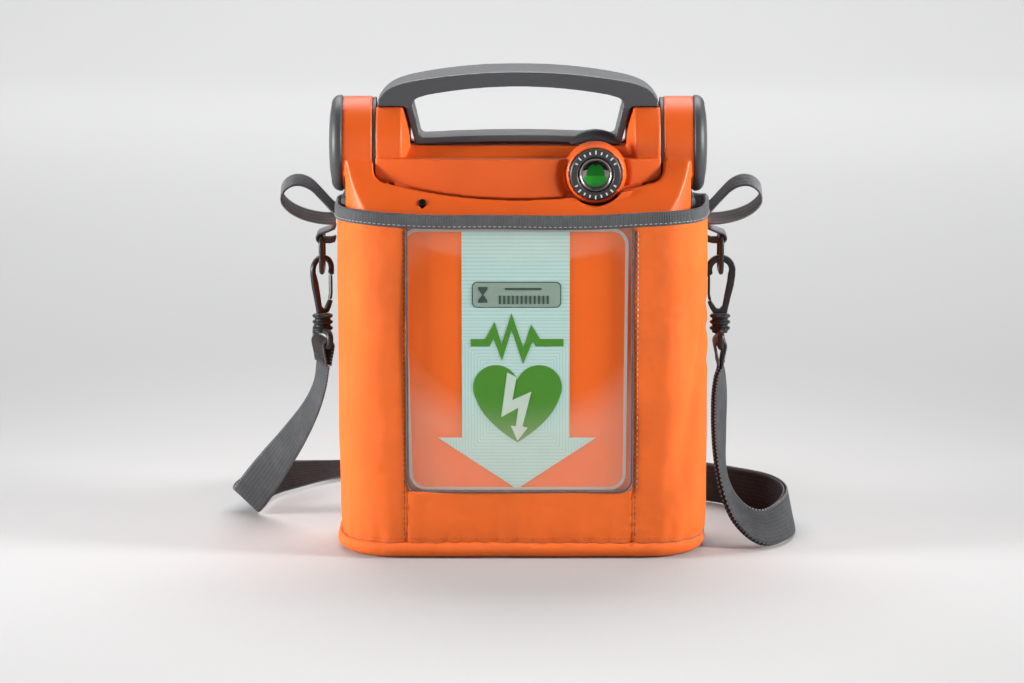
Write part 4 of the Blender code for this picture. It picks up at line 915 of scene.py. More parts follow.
def make_strap_end(side):
    """The webbing that is sewn back on itself round the swivel's lower bar."""
    x, turn = SIDES[side] * SWIVEL_X, EYE_TURN[side]
    reach = EYE_BAR + STRAP_THICKNESS / 2 + 0.0005
    outline = [(0.0012, STRAP_END_Z), (0.0017, STRAP_END_Z + 0.004), (0.0026, EYE_BAR_Z - 0.004)]
    outline += arc((0, EYE_BAR_Z), reach, -10, 190, 20)
    outline += [(-0.0026, EYE_BAR_Z - 0.004), (-0.0017, STRAP_END_Z + 0.004),
                (-0.0012, STRAP_END_Z)]
    middles = [Vector((x + out * cos(turn), out * sin(turn), z)) for out, z in outline]
    across = [Vector((-sin(turn), cos(turn), 0))] * len(middles)
    end = web(f"strap_end_{side}_webbing", middles, across, STRAP_WIDTH, STRAP_THICKNESS,
              material="tab_webbing" if side == "right" else "strap_webbing")
    belong(end, f"swivel_{side}", f"strap_end_{side}")
    sign = SIDES[side]
    out = sign * 0.0027
    box = mm(-9, 1.8, 9, 1.8, 9, 4.8, -9, 4.8, -9, 1.8, 9, 4.8)
    path = [(x + out * cos(turn) - y * sin(turn), out * sin(turn) + y * cos(turn),
             STRAP_END_Z + z) for y, z in box]
    sewn = stitches(f"strap_end_{side}_stitches", path, "dark_thread", 0.0016, 0.0024)
    belong(sewn, f"swivel_{side}")


def make_slider():
    outer = rounded(-0.0048, 0.0048, -0.015, 0.015, 0.0018)
    inner = rounded(-0.0028, 0.0028, -0.0131, 0.0131, 0.001)
    outlines = [[(SLIDER_Y + u, SLIDER_Z + v) for u, v in points] for points in (outer, inner)]
    span = (SLIDER_X - SLIDER_HALF_LENGTH, SLIDER_X + SLIDER_HALF_LENGTH)
    frame_piece = prism("slider_frame", outlines, "X", *span, "black_plastic", centre_x=0)
    settle(bevel(frame_piece, 0.0006, 3, 50))
    belong(shade_round(frame_piece), "slider", "strap_slider")


# The sleeve


def plan(along, out=0.0):
    """The sleeve's wall seen from above: the place and outward direction at a distance along
    its middle surface from the middle of the front, moved outwards by `out`."""
    along = (along + 2 * SEAM_AT) % (4 * SEAM_AT) - 2 * SEAM_AT
    side = 1 if along >= 0 else -1
    distance = abs(along)
    wall = FABRIC / 2
    half_width, half_depth = SLEEVE_HALF_WIDTH - wall, SLEEVE_HALF_DEPTH - wall
    radius = SLEEVE_CORNER - wall
    is_back = distance > SEAM_AT
    if is_back:
        distance = 2 * SEAM_AT - distance
    if distance <= STRAIGHT:
        x, y, nx, ny = distance, -half_depth, 0.0, -1.0
    elif distance <= STRAIGHT + QUARTER:
        turn = (distance - STRAIGHT) / radius
        nx, ny = sin(turn), -cos(turn)
        x, y = STRAIGHT + radius * nx, -(half_depth - radius) + radius * ny
    else:
        x, y, nx, ny = half_width, distance - SEAM_AT, 1.0, 0.0
    if is_back:
        y, ny = -y, -ny
    return Vector((side * (x + nx * out), y + ny * out, 0)), Vector((side * nx, ny, 0))


# The folds that run in from the right side: their height there, slope and depth.
SIDE_FOLDS = ((0.152, 0.42, 0.001), (0.137, 0.3, 0.0012), (0.118, 0.18, 0.0008))


def relief(along, z):
    """How far the sleeve's fabric stands out from its plain wall at a place on it."""
    along = (along + 2 * SEAM_AT) % (4 * SEAM_AT) - 2 * SEAM_AT
    place = (plan(along)[0] + Vector((0, 0, z))) * 11 + Vector((0, 0, 3.1))
    out = 0.0011 * noise.noise(place) + 0.0006 * noise.noise(place * 2.7 + Vector((7, 1, 0)))
    # The corners are filled less than the flat front, and sag into slack vertical folds.
    from_corner = SEAM_AT - abs(SEAM_AT - abs(along)) - STRAIGHT - QUARTER * 0.5
    corner = exp(-((from_corner / 0.022) ** 2))
    out += 0.001 * corner * noise.noise(Vector((along * 75, z * 8, 1.7)))
    # The fabric draws in beside the window's two seams, and puckers along them.
    for seam in (WINDOW_LEFT, WINDOW_RIGHT):
        distance = abs(along - seam)
        out -= 0.0009 * exp(-((distance / 0.0026) ** 2))
        pucker = exp(-distance / 0.006) * step_up(WALL_TOP - z, 0.002, 0.02)
        out += 0.00022 * pucker * sin(2 * pi * z / 0.0056 + 2.5 * noise.noise(place * 3))
    # The whole sleeve leans a little to the right, more so low down.
    out += plan(along)[1].x * (0.0004 + 0.0011 * step_up(0.11 - z, 0.0, 0.09))
    # Side seams, where the front and the back are sewn together.
    side_seam = abs(abs(along) - SEAM_AT)
    out -= 0.0007 * exp(-((side_seam / 0.0025) ** 2))
    # A few folds run in from the right side, where the hook leans on it.
    for fold_z, slope, depth in SIDE_FOLDS:
        reach = step_up(along, 0.088, 0.125) * (1 - step_up(abs(along), 0.15, 0.175))
        offset = z - fold_z - slope * (along - 0.13)
        out -= depth * reach * exp(-((offset / 0.0042) ** 2)) if along > 0 else 0.0
    # One deep valley runs down and forward from the dent below the hook.
    if 0.07 < along < 0.16 and 0.02 < z < 0.17:
        share = min(1.0, max(0.0, (0.142 - z) / 0.1))
        line = 0.12 - 0.026 * share
        deep = 0.0048 * (1 - share) + 0.0014 * share
        ends = step_up(z, 0.03, 0.06) * (1 - step_up(z, 0.136, 0.158))
        spread = 0.0046 + 0.0052 * share
        out -= deep * ends * exp(-(((along - line) / spread) ** 2))
        out += 0.1 * deep * ends * exp(-(((along - line - 2.1 * spread) / spread) ** 2))
    # The bottom seam pulls the wall in, with short gathers above it.
    near = exp(-max(0.0, z - BOTTOM_SEAM_Z) / 0.005)
    out -= 0.0016 * near
    out += 0.00035 * exp(-max(0.0, z - BOTTOM_SEAM_Z) / 0.009) * sin(
        2 * pi * along / 0.0115 + 3 * noise.noise(Vector((along * 30, 0, 5)))
    )
    return out


def folded(along):
    """A place on the back, as the one across from it on the front."""
    return along if along <= SEAM_AT else 2 * SEAM_AT - along


def rim_lift(along):
    """(rise, outward lean) of the rim's binding near its ends, where it lifts off the case."""
    right = step_up(along, 0.112, SEAM_AT)
    left = step_up(-along, 0.118, SEAM_AT)
    sway = 0.0005 * noise.noise(Vector((along * 22, 4.0, 1.0)))
    bow = 0.0022 * step_up(abs(along), 0.04, 0.1)
    return 0.003 * right + 0.001 * left + bow + sway, 0.0006 * right - 0.0004 * left


def wall(name, span, heights, node, thickness, material, step, depth):
    """A panel of the sleeve between two places along its wall, and two heights."""
    (start, end), (low, high) = span, heights
    across = max(2, ceil((end - start) / step))
    up = max(2, ceil((high - low) / step))
    rows, maps = [], []
    for r in range(up + 1):
        z = low + (high - low) * r / up
        row, places = [], []
        for c in range(across + 1):
            along = start + (end - start) * c / across
            place, _ = plan(along, depth(along, z))
            rise = rim_lift(folded(along))[0] * step_up(z, 0.18, WALL_TOP + 0.003)
            row.append((place.x, place.y, z + rise))
            places.append((along, z))
        rows.append(row)
        maps.append(places)
    panel = grid(name, rows, material, maps=maps)
    modify(panel, "SOLIDIFY", thickness=thickness, offset=0)
    return belong(panel, "sleeve", node)


def fold_down(piece):
    """The front of the sleeve is soft, and folds down in front of the case as the lid opens. Here
    the piece only gets its own copy of its mesh.
    """
    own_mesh(piece)


def vinyl_relief(along, z):
    """The clear sheet lies flat, with a slow wave, and sinks to its seams."""
    edge = min(along - WINDOW_LEFT, WINDOW_RIGHT - along, z - WINDOW_LOW)
    wave = 0.00035 * noise.noise(Vector((along * 14, z * 10, 9.0)))
    return -0.0002 + wave * step_up(edge, 0.0, 0.02)


def make_sleeve():
    top, low, gap = WALL_TOP + 0.003, BOTTOM_SEAM_Z, 0.00015
    size = 0.0017
    cloth_wall, clear_wall = (0.0018, "orange_fabric", size), (0.0006, "clear_vinyl", 0.004)
    window, seams = WINDOW_RIGHT - WINDOW_LEFT, (WINDOW_LEFT, WINDOW_RIGHT)
    height = top - low
    # Each panel's name, node, place along the wall, heights, make-up and flat size.
    for name, node, span, heights, (thickness, material, step), flat in (
        ("sleeve_panel_left", "sleeve_front_left", (-SEAM_AT, WINDOW_LEFT - gap), (low, top),
         cloth_wall, (SEAM_AT + WINDOW_LEFT, height)),
        ("sleeve_panel_right", "sleeve_front_right", (WINDOW_RIGHT + gap, SEAM_AT), (low, top),
         cloth_wall, (SEAM_AT - WINDOW_RIGHT, height)),
        ("sleeve_panel_lower", "sleeve_front_lower", (WINDOW_LEFT + gap, WINDOW_RIGHT - gap),
         (low, WINDOW_LOW), cloth_wall, (window, WINDOW_LOW - low)),
        ("window_vinyl", "window_sheet", seams, (WINDOW_LOW, top), clear_wall,
         (window, top - WINDOW_LOW)),
        ("sleeve_panel_back", "sleeve_back", (SEAM_AT, 3 * SEAM_AT), (low, top),
         (0.0018, "orange_fabric", size * 1.2), (2 * SEAM_AT, height)),
    ):
        depth = vinyl_relief if material == "clear_vinyl" else relief
        panel = wall(name, span, heights, node, thickness, material, step, depth)
        if node != "sleeve_back":
            fold_down(panel)
    make_bottom()
    make_seams()
    make_piping()


def make_bottom():
    """The sleeve's bottom: a shallow fabric tray whose edge is sewn to the walls."""
    section = [(-0.0016, BOTTOM_SEAM_Z), (-0.0004, 0.0088), (0.0004, 0.007), (0.0004, 0.005),
               (-0.0008, 0.003), (-0.0028, 0.0016), (-0.006, 0.001), (-0.012, 0.0009),
               (-0.022, 0.001), (-0.034, 0.001)]
    count = 300
    rows, maps = [], []
    for index, (out, z) in enumerate(section):
        row, places = [], []
        for step in range(count):
            along = -2 * SEAM_AT + 4 * SEAM_AT * step / count
            pull = 0.0003 * sin(2 * pi * along / 0.0115) * exp(-index / 2)
            place, _ = plan(along, out + pull)
            row.append((place.x, place.y, z))
            places.append((along, 0.012 - z - out))
        rows.append(row)
        maps.append(places)
    tray = grid("sleeve_tray", rows, "orange_fabric", closed=True, maps=maps)
    with editing(tray.data) as bm:
        middle = [edge for edge in bm.edges
                  if edge.is_boundary and max(vert.co.z for vert in edge.verts) < 0.004]
        bmesh.ops.holes_fill(bm, edges=middle)
    modify(tray, "SOLIDIFY", thickness=0.0016, offset=0)
    belong(tray, "sleeve", "sleeve_bottom")


def seam_path(along, z, lift, count=60):
    """Points on the sleeve's outer face. One of the two places has a start and an end."""
    ends = [value if isinstance(value, tuple) else (value, value) for value in (along, z)]
    path = []
    for step in range(count + 1):
        along, z = (start + (end - start) * step / count for start, end in ends)
        place, _ = plan(along, relief(along, z) + 0.0009 + lift)
        path.append((place.x, place.y, z))
    return path


def sew(name, path, material, *sizes, folds=True):
    """A row of stitches in the sleeve."""
    row = belong(stitches(name, path, material, *sizes), "sleeve")
    if folds:
        fold_down(row)


def make_seams():
    """Rows of stitches, and a round cord along the bottom seam."""
    for label, seam in (("left", WINDOW_LEFT - 0.0016), ("right", WINDOW_RIGHT + 0.0016)):
        path = seam_path(seam, (0.011, 0.202), 0.0001)
        sew(f"window_seam_{label}_stitches", path, "dark_thread")
    pale = seam_path(WINDOW_RIGHT + 0.0028, (0.044, 0.202), 0.00005)
    sew("window_seam_pale_stitches", pale, "pale_thread", 0.0018)
    for label, span in (("front", (-SEAM_AT, SEAM_AT)), ("back", (SEAM_AT, 3 * SEAM_AT))):
        path = seam_path(span, BOTTOM_SEAM_Z + 0.0002, -0.0004, 200)
        cordlike = tube(f"bottom_seam_{label}", path, 0.0009, "orange_thread", 6)
        belong(cordlike, "sleeve")
        above = seam_path(span, BOTTOM_SEAM_Z + 0.003, 0.0, 200)
        is_front = label == "front"
        sew(f"bottom_seam_{label}_stitches", above, "orange_thread", 0.002, 0.0031,
            folds=is_front)
        if is_front:
            fold_down(cordlike)
    for side, sign in SIDES.items():
        path = seam_path(sign * (SEAM_AT - 0.003), (0.012, 0.198), 0.0)
        sew(f"side_seam_{side}_stitches", path, "orange_thread")


def make_piping():
    """The thin bound edge of the clear window."""
    radius, corner = 0.0008, 0.0075
    left, right, low = WINDOW_LEFT + 0.0004, WINDOW_RIGHT - 0.0004, WINDOW_LOW - 0.0003
    outline = [(left, WALL_TOP)] + arc((left + corner, low + corner), corner, 180, 270, 10)
    outline += arc((right - corner, low + corner), corner, 270, 360, 10) + [(right, WALL_TOP)]
    dense = [Vector((x, -SLEEVE_HALF_DEPTH + 0.0008, z)) for x, z in outline]
    piping = tube("window_edge_cord", dense, radius, "piping", 8)
    belong(piping, "sleeve", "window_piping")
    fold_down(piping)


def rim_frame(along):
    rise, lean = rim_lift(folded(along))
    place, out = plan(along, lean)
    return Vector((place.x, place.y, rise)), out


def make_rim():
    """Grosgrain folded over the sleeve's top edge, with a row of stitches through it."""
    middle_z = (RIM_LOW + RIM_HIGH) / 2
    section = rounded(-RIM_THICKNESS / 2, RIM_THICKNESS / 2, RIM_LOW - middle_z - 0.0004,
                      RIM_HIGH - middle_z, (0.0008, 0.0008, 0.0016, 0.0016), 5)
    step = 0.0012
    for name, node, start, end in (
        ("rim_binding_front", "rim_front", -SEAM_AT, SEAM_AT),
        ("rim_binding_back", "rim_back", SEAM_AT, 3 * SEAM_AT),
    ):
        count = ceil((end - start) / step)
        rows, low_edge = [], []
        for index in range(count + 1):
            along = start + (end - start) * index / count
            place, out = rim_frame(along)
            rows.append([place + out * u + Vector((0, 0, middle_z + v)) for u, v in section])
            low_edge.append(place + out * (RIM_THICKNESS / 2 + 0.0001)
                            + Vector((0, 0, RIM_LOW + 0.0013)))
        binding = grid(name, rows, "rim_webbing", closed=True, caps=True)
        belong(binding, "sleeve", node)
        is_front = node == "rim_front"
        sew(f"{name}_stitches", low_edge, "pale_thread", 0.0019, 0.003, 0.00022,
            folds=is_front)
        if is_front:
            fold_down(binding)


# The case


def smile(x, gap=0.0):
    """The height of the lid's curved top edge, with the parts above it a gap higher."""
    return SMILE_Z + SMILE_RADIUS - sqrt(SMILE_RADIUS**2 - x * x) + gap


def smile_points(half_width, gap):
    """Points along the smile, from its left end to its right."""
    steps = 48
    places = [half_width * (2 * step / steps - 1) for step in range(steps + 1)]
    return [(x, smile(x, gap)) for x in places]


def smile_outline(gap, radius, corners):
    """The room above the lid's curved top edge, with its round ends, up to its corners."""
    end = arc((0.0785, 0.2352), radius, -62, 0, 10)
    return smile_points(SMILE_HALF_WIDTH, gap) + mirrored(end + corners)


def make_yoke():
    """The hinge yoke: two columns, the bar between them, and the status lamp's boss."""
    bar = smile_outline(0.0004, 0.0077, [(0.0862, SHELF_Z + 0.0006)])
    yoke = prism("yoke_moulding", bar, "Y", YOKE_FRONT - 0.004, -0.012, "orange_shell")
    places = [COLUMN_OUTER * (2 * step / 48 - 1) for step in range(49)]
    sweep = [(x, YOKE_FRONT - 0.0012 + YOKE_SWEEP * abs(x / COLUMN_OUTER) ** 2.6) for x in places]
    sweep += [(COLUMN_OUTER, YOKE_BACK), (-COLUMN_OUTER, YOKE_BACK)]
    combine(yoke, prism("yoke_plan", sweep, "Z", 0.2, 0.3), "INTERSECT")
    settle(yoke)
    bevel(yoke, 0.0016, 3, 50)
    slope = [
        (-0.026, 0.235), (-0.0212, 0.2398), (HANDLE_FRONT - 0.001, YOKE_TOP),
        (0.02, YOKE_TOP), (YOKE_BACK - 0.004, 0.244), (YOKE_BACK, 0.236),
        (YOKE_BACK, 0.2178), (-0.016, 0.2178), (-0.02, 0.23),
    ]
    combine(yoke, prism("yoke_base", slope, "X", -0.078, 0.078), "UNION")
    for side, sign in SIDES.items():
        outer, shoulder, inner = COLUMN_OUTER, COLUMN_OUTER - 0.0148, COLUMN_INNER - 0.0008
        profile = [(0, sign * outer), (BARREL_RADIUS - 0.0008, sign * outer),
                   (BARREL_RADIUS, sign * (outer - 0.001)), (BARREL_RADIUS, sign * shoulder),
                   (BARREL_RADIUS - 0.0006, sign * (shoulder - 0.001)),
                   (BARREL_RADIUS - 0.0135, sign * inner), (0, sign * inner)]
        column = lathe(f"yoke_column_{side}", profile, "X", HINGE, steps=128)
        combine(yoke, column, "UNION")
    boss = lathe("lamp_boss", mm(0, -33, 15.8, -33, 17.3, -31.8, 17.8, -30, 18.7, -26.2,
                                 18.7, -20.2, 0, -20.2), "Y", LAMP)
    scallop = lathe("lamp_scallop", mm(0, -60, 26.2, -60, 23.7, -32.2, 19.8, -26.2,
                                       0, -26.2), "Y", LAMP)
    combine(yoke, scallop)
    combine(yoke, boss, "UNION")
    combine(yoke, rod("lamp_recess", 0.0157, "Y", -0.05, -0.0292, LAMP))
    combine(yoke, block("column_tops", (-0.1, 0.1), (-0.1, 0.1), (COLUMN_TOP, 0.3)))
    combine(yoke, rod("yoke_pins", PIN_BORE, "X", -0.1, 0.1, HINGE))
    low = YOKE_TOP - 0.0002
    room = [(-0.069, 0.3), (-0.0682, COLUMN_TOP), (-0.0632, low + 0.001), (-0.0622, low)]
    combine(yoke, prism("handle_room", mirrored(room), "Y", HANDLE_FRONT - 0.0002, 0.05))
    moulded(yoke, 0.0007, 4, 0.2)
    belong(yoke, "case", "hinge_yoke")
    low_lip = [(x, smile(x, -0.0034)) for x in (0.074, 0.05, 0.025, 0, -0.025, -0.05, -0.074)]
    lip = prism("yoke_lip", smile_points(0.074, 0.0016) + low_lip, "Y", -0.0282, -0.024,
                "orange_shell")
    belong(shade_round(lip), "case")
    for side, sign in SIDES.items():
        profile = [(PIN_BORE, sign * 0.0857), (0.0279, sign * 0.0857), (0.0279, sign * 0.0873),
                   (PIN_BORE, sign * 0.0873), (PIN_BORE, sign * 0.0857)]
        washer = lathe(f"hinge_washer_{side}", profile, "X", HINGE, "grey_rubber")
        belong(shade_round(washer), "case")


def make_handle():
    """A closed ring: the grip's arch over the columns, its sides, and the bar below it."""
    top = []
    half, rise = HANDLE_HALF_WIDTH, GRIP_TOP - GRIP_END
    for step in range(61):
        share = 2 * step / 60 - 1
        x = -half * share
        bow = rise - 0.0085
        top.append((x, GRIP_TOP - bow * abs(share) ** 2.1 - 0.0085 * abs(share) ** 15))
    low, shoulder = YOKE_TOP + HANDLE_GAP, COLUMN_TOP + HANDLE_GAP
    foot = 0.0619
    outer = top + [(-half, shoulder), (-0.0679, shoulder), (-foot, low)]
    outer += [(x, low + 0.0016 * (1 - (x / foot) ** 2)) for x in
              [foot * (step / 12 - 1) for step in range(1, 24)]]
    outer += [(foot, low), (0.0679, shoulder), (half, shoulder)]
    opening = [
        *arc((-0.0564, 0.2548), 0.0028, 185, 265, 8),
        *[(x, 0.2519 + 0.0018 * (1 - (x / 0.057) ** 2)) for x in
          [0.05 * (step / 10 - 1) for step in range(1, 20)]],
        *arc((0.0564, 0.2548), 0.0028, 275, 355, 8),
        *arc((0.0588, 0.272), 0.0044, -5, 72, 8),
        *[(x, 0.2829 - x * x * 1.7) for x in
          [0.0545 * (1 - step / 14) for step in range(29)]],
        *arc((-0.0588, 0.272), 0.0044, 108, 185, 8),
    ]
    handle = prism("handle_moulding", [outer, opening], "Y", HANDLE_FRONT, HANDLE_BACK,
                   "grey_shell")
    settle(bevel(handle, 0.0026, 4, 50))
    for vertex in handle.data.vertices:
        across = (vertex.co.x - CASE_X) / half
        if vertex.co.y < 0 and vertex.co.z > 0.2866 - 0.015 * across * across:
            vertex.co.z -= 0.0022 * (1 - across**4)
    bump = lathe("handle_bump", [(0, HANDLE_FRONT - 0.0012), (0.0205, HANDLE_FRONT - 0.0012),
                                 (0.0232, HANDLE_FRONT + 0.001), (0.024, HANDLE_FRONT + 0.004),
                                 (0.0225, HANDLE_FRONT + 0.009), (0, HANDLE_FRONT + 0.009)],
                 "Y", LAMP)
    limits = rounded(LAMP[0] - 0.015, LAMP[0] + 0.015, low + 0.0003, 0.262, 0)
    keep = prism("bump_limits", limits, "Y", -0.03, 0.03)
    combine(bump, keep, "INTERSECT")
    combine(handle, bump, "UNION")
    moulded(handle, 0.0007, 5, 0.25)
    belong(handle, "case", "handle")


def lid_profile(inset):
    """The lid's side view: its front, the round bottom edge, and the ramp to the hinge."""
    front, low = LID_FRONT + inset, LID_LOW + inset
    radius = LID_FOOT_RADIUS - inset
    back = LID_BACK + (0.01 if inset else 0)
    rise = (RAMP_TOP_Z - LID_RAMP_Z) / (RAMP_TOP_Y - LID_FRONT)
    slant = inset * hypot(1, rise) / rise
    return (
        [(back, RAMP_TOP_Z), (back, low)]
        + arc((front + radius, low + radius), radius, 270, 180, 10)
        + [(front, LID_RAMP_Z), (RAMP_TOP_Y + slant, RAMP_TOP_Z)]
    )


def lid_plan(inset):
    half, radius = LID_HALF_WIDTH - inset, LID_CORNER - inset
    return rounded(-half, half, LID_FRONT + inset, 0.02, (radius, radius, 0, 0), 24)


def make_lid_body(name, inset, material):
    half, radius = LID_HALF_WIDTH - inset, LID_FOOT_CORNER - inset
    body = prism(name, lid_profile(inset), "X", -half, half, material)
    combine(body, prism(f"{name}_plan", lid_plan(inset), "Z", 0, 0.3), "INTERSECT")
    outline = rounded(-half, half, LID_LOW + inset, 0.31, (radius, radius, 0, 0), 20)
    return combine(body, prism(f"{name}_outline", outline, "Y", -0.1, 0.1), "INTERSECT")


def make_barrel(side, sign):
    """A drum open at its outer end, with a boss for the pin and a pointed ramp to the panel."""
    centre = HINGE
    inner, outer, wall_in = BARREL_INNER, BARREL_OUTER, BARREL_RADIUS - LID_WALL
    profile = [
        (PIN_BORE, sign * inner), (BARREL_RADIUS - 0.0006, sign * inner),
        (BARREL_RADIUS, sign * (inner + 0.0006)), (BARREL_RADIUS, sign * outer),
        (wall_in, sign * outer), (wall_in, sign * (inner + LID_WALL)),
        (0.008, sign * (inner + LID_WALL)), (0.008, sign * (outer - 0.003)),
        (PIN_BORE, sign * (outer - 0.003)), (PIN_BORE, sign * inner),
    ]
    drum = lathe(f"barrel_{side}", profile, "X", centre, steps=128)
    foot_y, foot_z = LID_FRONT + 0.0002, LID_RAMP_Z - 0.007
    web_shape = [
        (LID_BACK, foot_z), (LID_BACK, 0.232), (-0.012, 0.244), (RAMP_TOP_Y, 0.244),
        (RAMP_TOP_Y, RAMP_TOP_Z), (foot_y, LID_RAMP_Z), (foot_y, foot_z),
    ]
    span = sorted((sign * BARREL_INNER, sign * (LID_HALF_WIDTH - 0.0004)))
    ramp = prism(f"barrel_ramp_{side}", web_shape, "X", *span)
    combine(ramp, prism(f"barrel_plan_{side}", lid_plan(0), "Z", 0.1, 0.3), "INTERSECT")
    tip = mm(86, 180, 86, 229, 88, 235.5, 90.3, 241.5, 93, 238.5, 99.2, 229, 108, 214, 108, 180)
    facet = prism(f"barrel_facet_{side}", [(sign * x, z) for x, z in tip], "Y", -0.1, 0.1)
    combine(ramp, facet, "INTERSECT")
    bore = rod(f"barrel_inside_{side}", wall_in, "X",
               *sorted((sign * (inner + LID_WALL), sign * (outer + 0.01))), centre)
    combine(ramp, bore)
    combine(drum, ramp, "UNION")
    return drum


def make_lock_socket():
    """The small dark socket for a key, sunk square into the ramp on the left."""
    up = 0.2168
    rise = (RAMP_TOP_Z - LID_RAMP_Z) / (RAMP_TOP_Y - LID_FRONT)
    out = LID_FRONT + (up - LID_RAMP_Z) / rise
    profile = mm(0, -0.2, 1.1, -0.2, 1.2, -0.6, 1.9, -0.6, 2.2, 0.2, 1.9, 1.6, 0, 1.6)
    socket = lathe("lock_socket", profile, "Y", (0, 0), "flag_dark", 0, 32)
    lean = Matrix.Rotation(-atan(1 / rise), 4, "X")
    socket.data.transform(Matrix.Translation((CASE_X + KEY_X, out, up)) @ lean)
    belong(shade_round(socket), "lid")


def make_lid():
    """The front panel with its rim, and the two barrels that turn on the hinge pins."""
    shell = make_lid_body("lid_moulding", 0, "orange_shell")
    combine(shell, make_lid_body("lid_inside", LID_WALL, None))
    for side, sign in SIDES.items():
        combine(shell, make_barrel(side, sign), "UNION")
    top = smile_outline(0, 0.0082, [(BARREL_INNER, 0.245), (BARREL_INNER, 0.3)])
    combine(shell, prism("lid_top_room", top, "Y", -0.1, 0.1))
    scoop = mm(0, -60, 30, -60, 30, -45.5, 24, -40.7, 19, -37.2, 19, -15, 0, -15)
    combine(shell, lathe("boss_room", scoop, "Y", LAMP))
    combine(shell, rod("lock_hole", 0.0019, "Y", -0.1, LID_BACK, (KEY_X, 0.215), steps=32))
    moulded(shell, 0.0009, 7, 0.16)
    belong(shell, "lid", "lid_shell")
    profile = mm(18.9, -36.5, 24, -35, 24, -32, 18.9, -32, 18.9, -36.5)
    backing = lathe("boss_backing", profile, "Y", LAMP, "orange_shell")
    below = smile_points(SMILE_HALF_WIDTH, -0.001)
    below += [(SMILE_HALF_WIDTH, 0.2), (-SMILE_HALF_WIDTH, 0.2)]
    combine(backing, prism("backing_limits", below, "Y", -0.1, 0.1), "INTERSECT")
    belong(shade_round(settle(backing)), "lid")
    make_lock_socket()


def make_end_cap(side):
    """A soft lens-shaped bumper on the barrel's open end."""
    sign = SIDES[side]
    inner = BARREL_OUTER - 0.0006
    profile = [(0, sign * (CAP_OUTER - 0.0007)), (0.01, sign * (CAP_OUTER - 0.0008)),
               (0.018, sign * (CAP_OUTER - 0.0013)), (0.0218, sign * (CAP_OUTER - 0.002))]
    profile += [(0.0235 + 0.0056 * sin(a), sign * (CAP_OUTER - 0.0074 + 0.0052 * cos(a)))
                for a in [radians(18 + 72 * step / 8) for step in range(9)]]
    profile += [(BARREL_RADIUS + 0.0006, sign * (BARREL_OUTER + 0.0006)),
                (BARREL_RADIUS - 0.0004, sign * (inner + 0.0002)), (0.024, sign * inner),
                (0, sign * inner)]
    cap = lathe(f"end_cap_{side}_bumper", profile, "X", HINGE, "grey_rubber")
    belong(shade_round(cap, 50), "lid", f"end_cap_{side}")


def make_lamp():
    """The status lamp: a bezel with a ring of ticks, a bright ring, and a green flag behind it."""
    bezel = mm(10.4, -29.8, 15.5, -29.8, 15.5, -33.6, 15.1, -34.5, 14.2, -35, 11.6, -35.1,
               10.8, -34.7, 10.4, -33.8, 10.4, -29.8)
    ring = mm(8.3, -31.6, 10.3, -31.6, 10.3, -34, 9.7, -34.8, 9, -34.6, 8.3, -33.6, 8.3, -31.6)
    lens = [(0.0082 * sin(radians(a)), -0.0322 - 0.0018 * cos(radians(a)))
            for a in range(0, 91, 9)] + [(0.0082, -0.0318), (0, -0.0318)]
    for name, profile, material, slot, node in (
        ("bezel", bezel, "bezel_plastic", "grey_shell", "indicator_bezel"),
        ("ring", ring, "silver", "steel", ()),
        ("lens", lens, "clear_lens", "clear_lens", "indicator_lens"),
    ):
        piece = lathe(f"lamp_{name}", profile, "Y", LAMP, material)
        belong(shade_round(piece, 40), "case", node)
    back, middle = -0.0311, (0, 0)
    green = mm(-5.2, -4.4, 5.2, -4.4, 5.4, 1, 4.2, 4, 2.2, 5.6, 0.8, 5.6, 0, 4.4, -0.8, 5.6,
               -2.2, 5.6, -4.2, 4, -5.4, 1)
    bright = [(-0.0052, -0.001), *arc(middle, 0.0074, 200, 340, 20), (0.0052, -0.001)]
    dark = [*arc(middle, 0.0079, 14, 166, 30), (-0.004, 0.003), (0.004, 0.003)]
    shapes = [
        ("flag", arc(middle, 0.008, 0, 354, 60), back, -0.0297, "flag_sides", "green_flag"),
        ("flag_green", green, back - 0.0002, back, "flag_green", "green_flag"),
        ("flag_bright", bright, back - 0.0003, back, "flag_bright", "green_flag"),
        ("flag_dark", dark, back - 0.0001, back, "flag_dark", "green_flag"),
    ]
    near, side = 0.0124, 0.00042
    for index in range(24):
        if index % 12 in (0, 1, 11):
            continue
        turn, far = 2 * pi * index / 24, 0.0141 if index % 3 else 0.0146
        tick = [(r * cos(turn) - s * sin(turn), r * sin(turn) + s * cos(turn))
                for r, s in ((near, -side), (far, -side), (far, side), (near, side))]
        shapes.append((f"tick_{index}", tick, -0.0352, -0.0349, "white_print", "grey_shell"))
    for name, outline, front, behind, material, slot in shapes:
        outline = [(LAMP[0] + u, LAMP[1] + v) for u, v in outline]
        piece = prism(f"lamp_{name}", outline, "Y", front, behind, material)
        if slot == "green_flag":
            shade_round(piece)
        belong(piece, "case", "indicator_flag" if name == "flag" else ())


# The label


def slanted(points):
    """The label leans very slightly: its left side runs in and its right side runs out."""
    return [(x + (z - 0.12) * (-0.029 if x < 0 else 0.006)
             * min(1.0, abs(x + 0.0027) / 0.06), z) for x, z in points]


LABEL_FACE = LID_FRONT - 0.0002
PRINT_LAYER = 0.00018          # from one printed layer of the label to the next


def flat_shape(name, outlines, layer, material):
    """A thin printed shape, one of several layers on the label. World metres across."""
    back = LABEL_FACE - 0.0002 - layer * PRINT_LAYER
    piece = prism(name, outlines, "Y", back - PRINT_LAYER, back, material, centre_x=0)
    return belong(shade_round(piece), "lid")


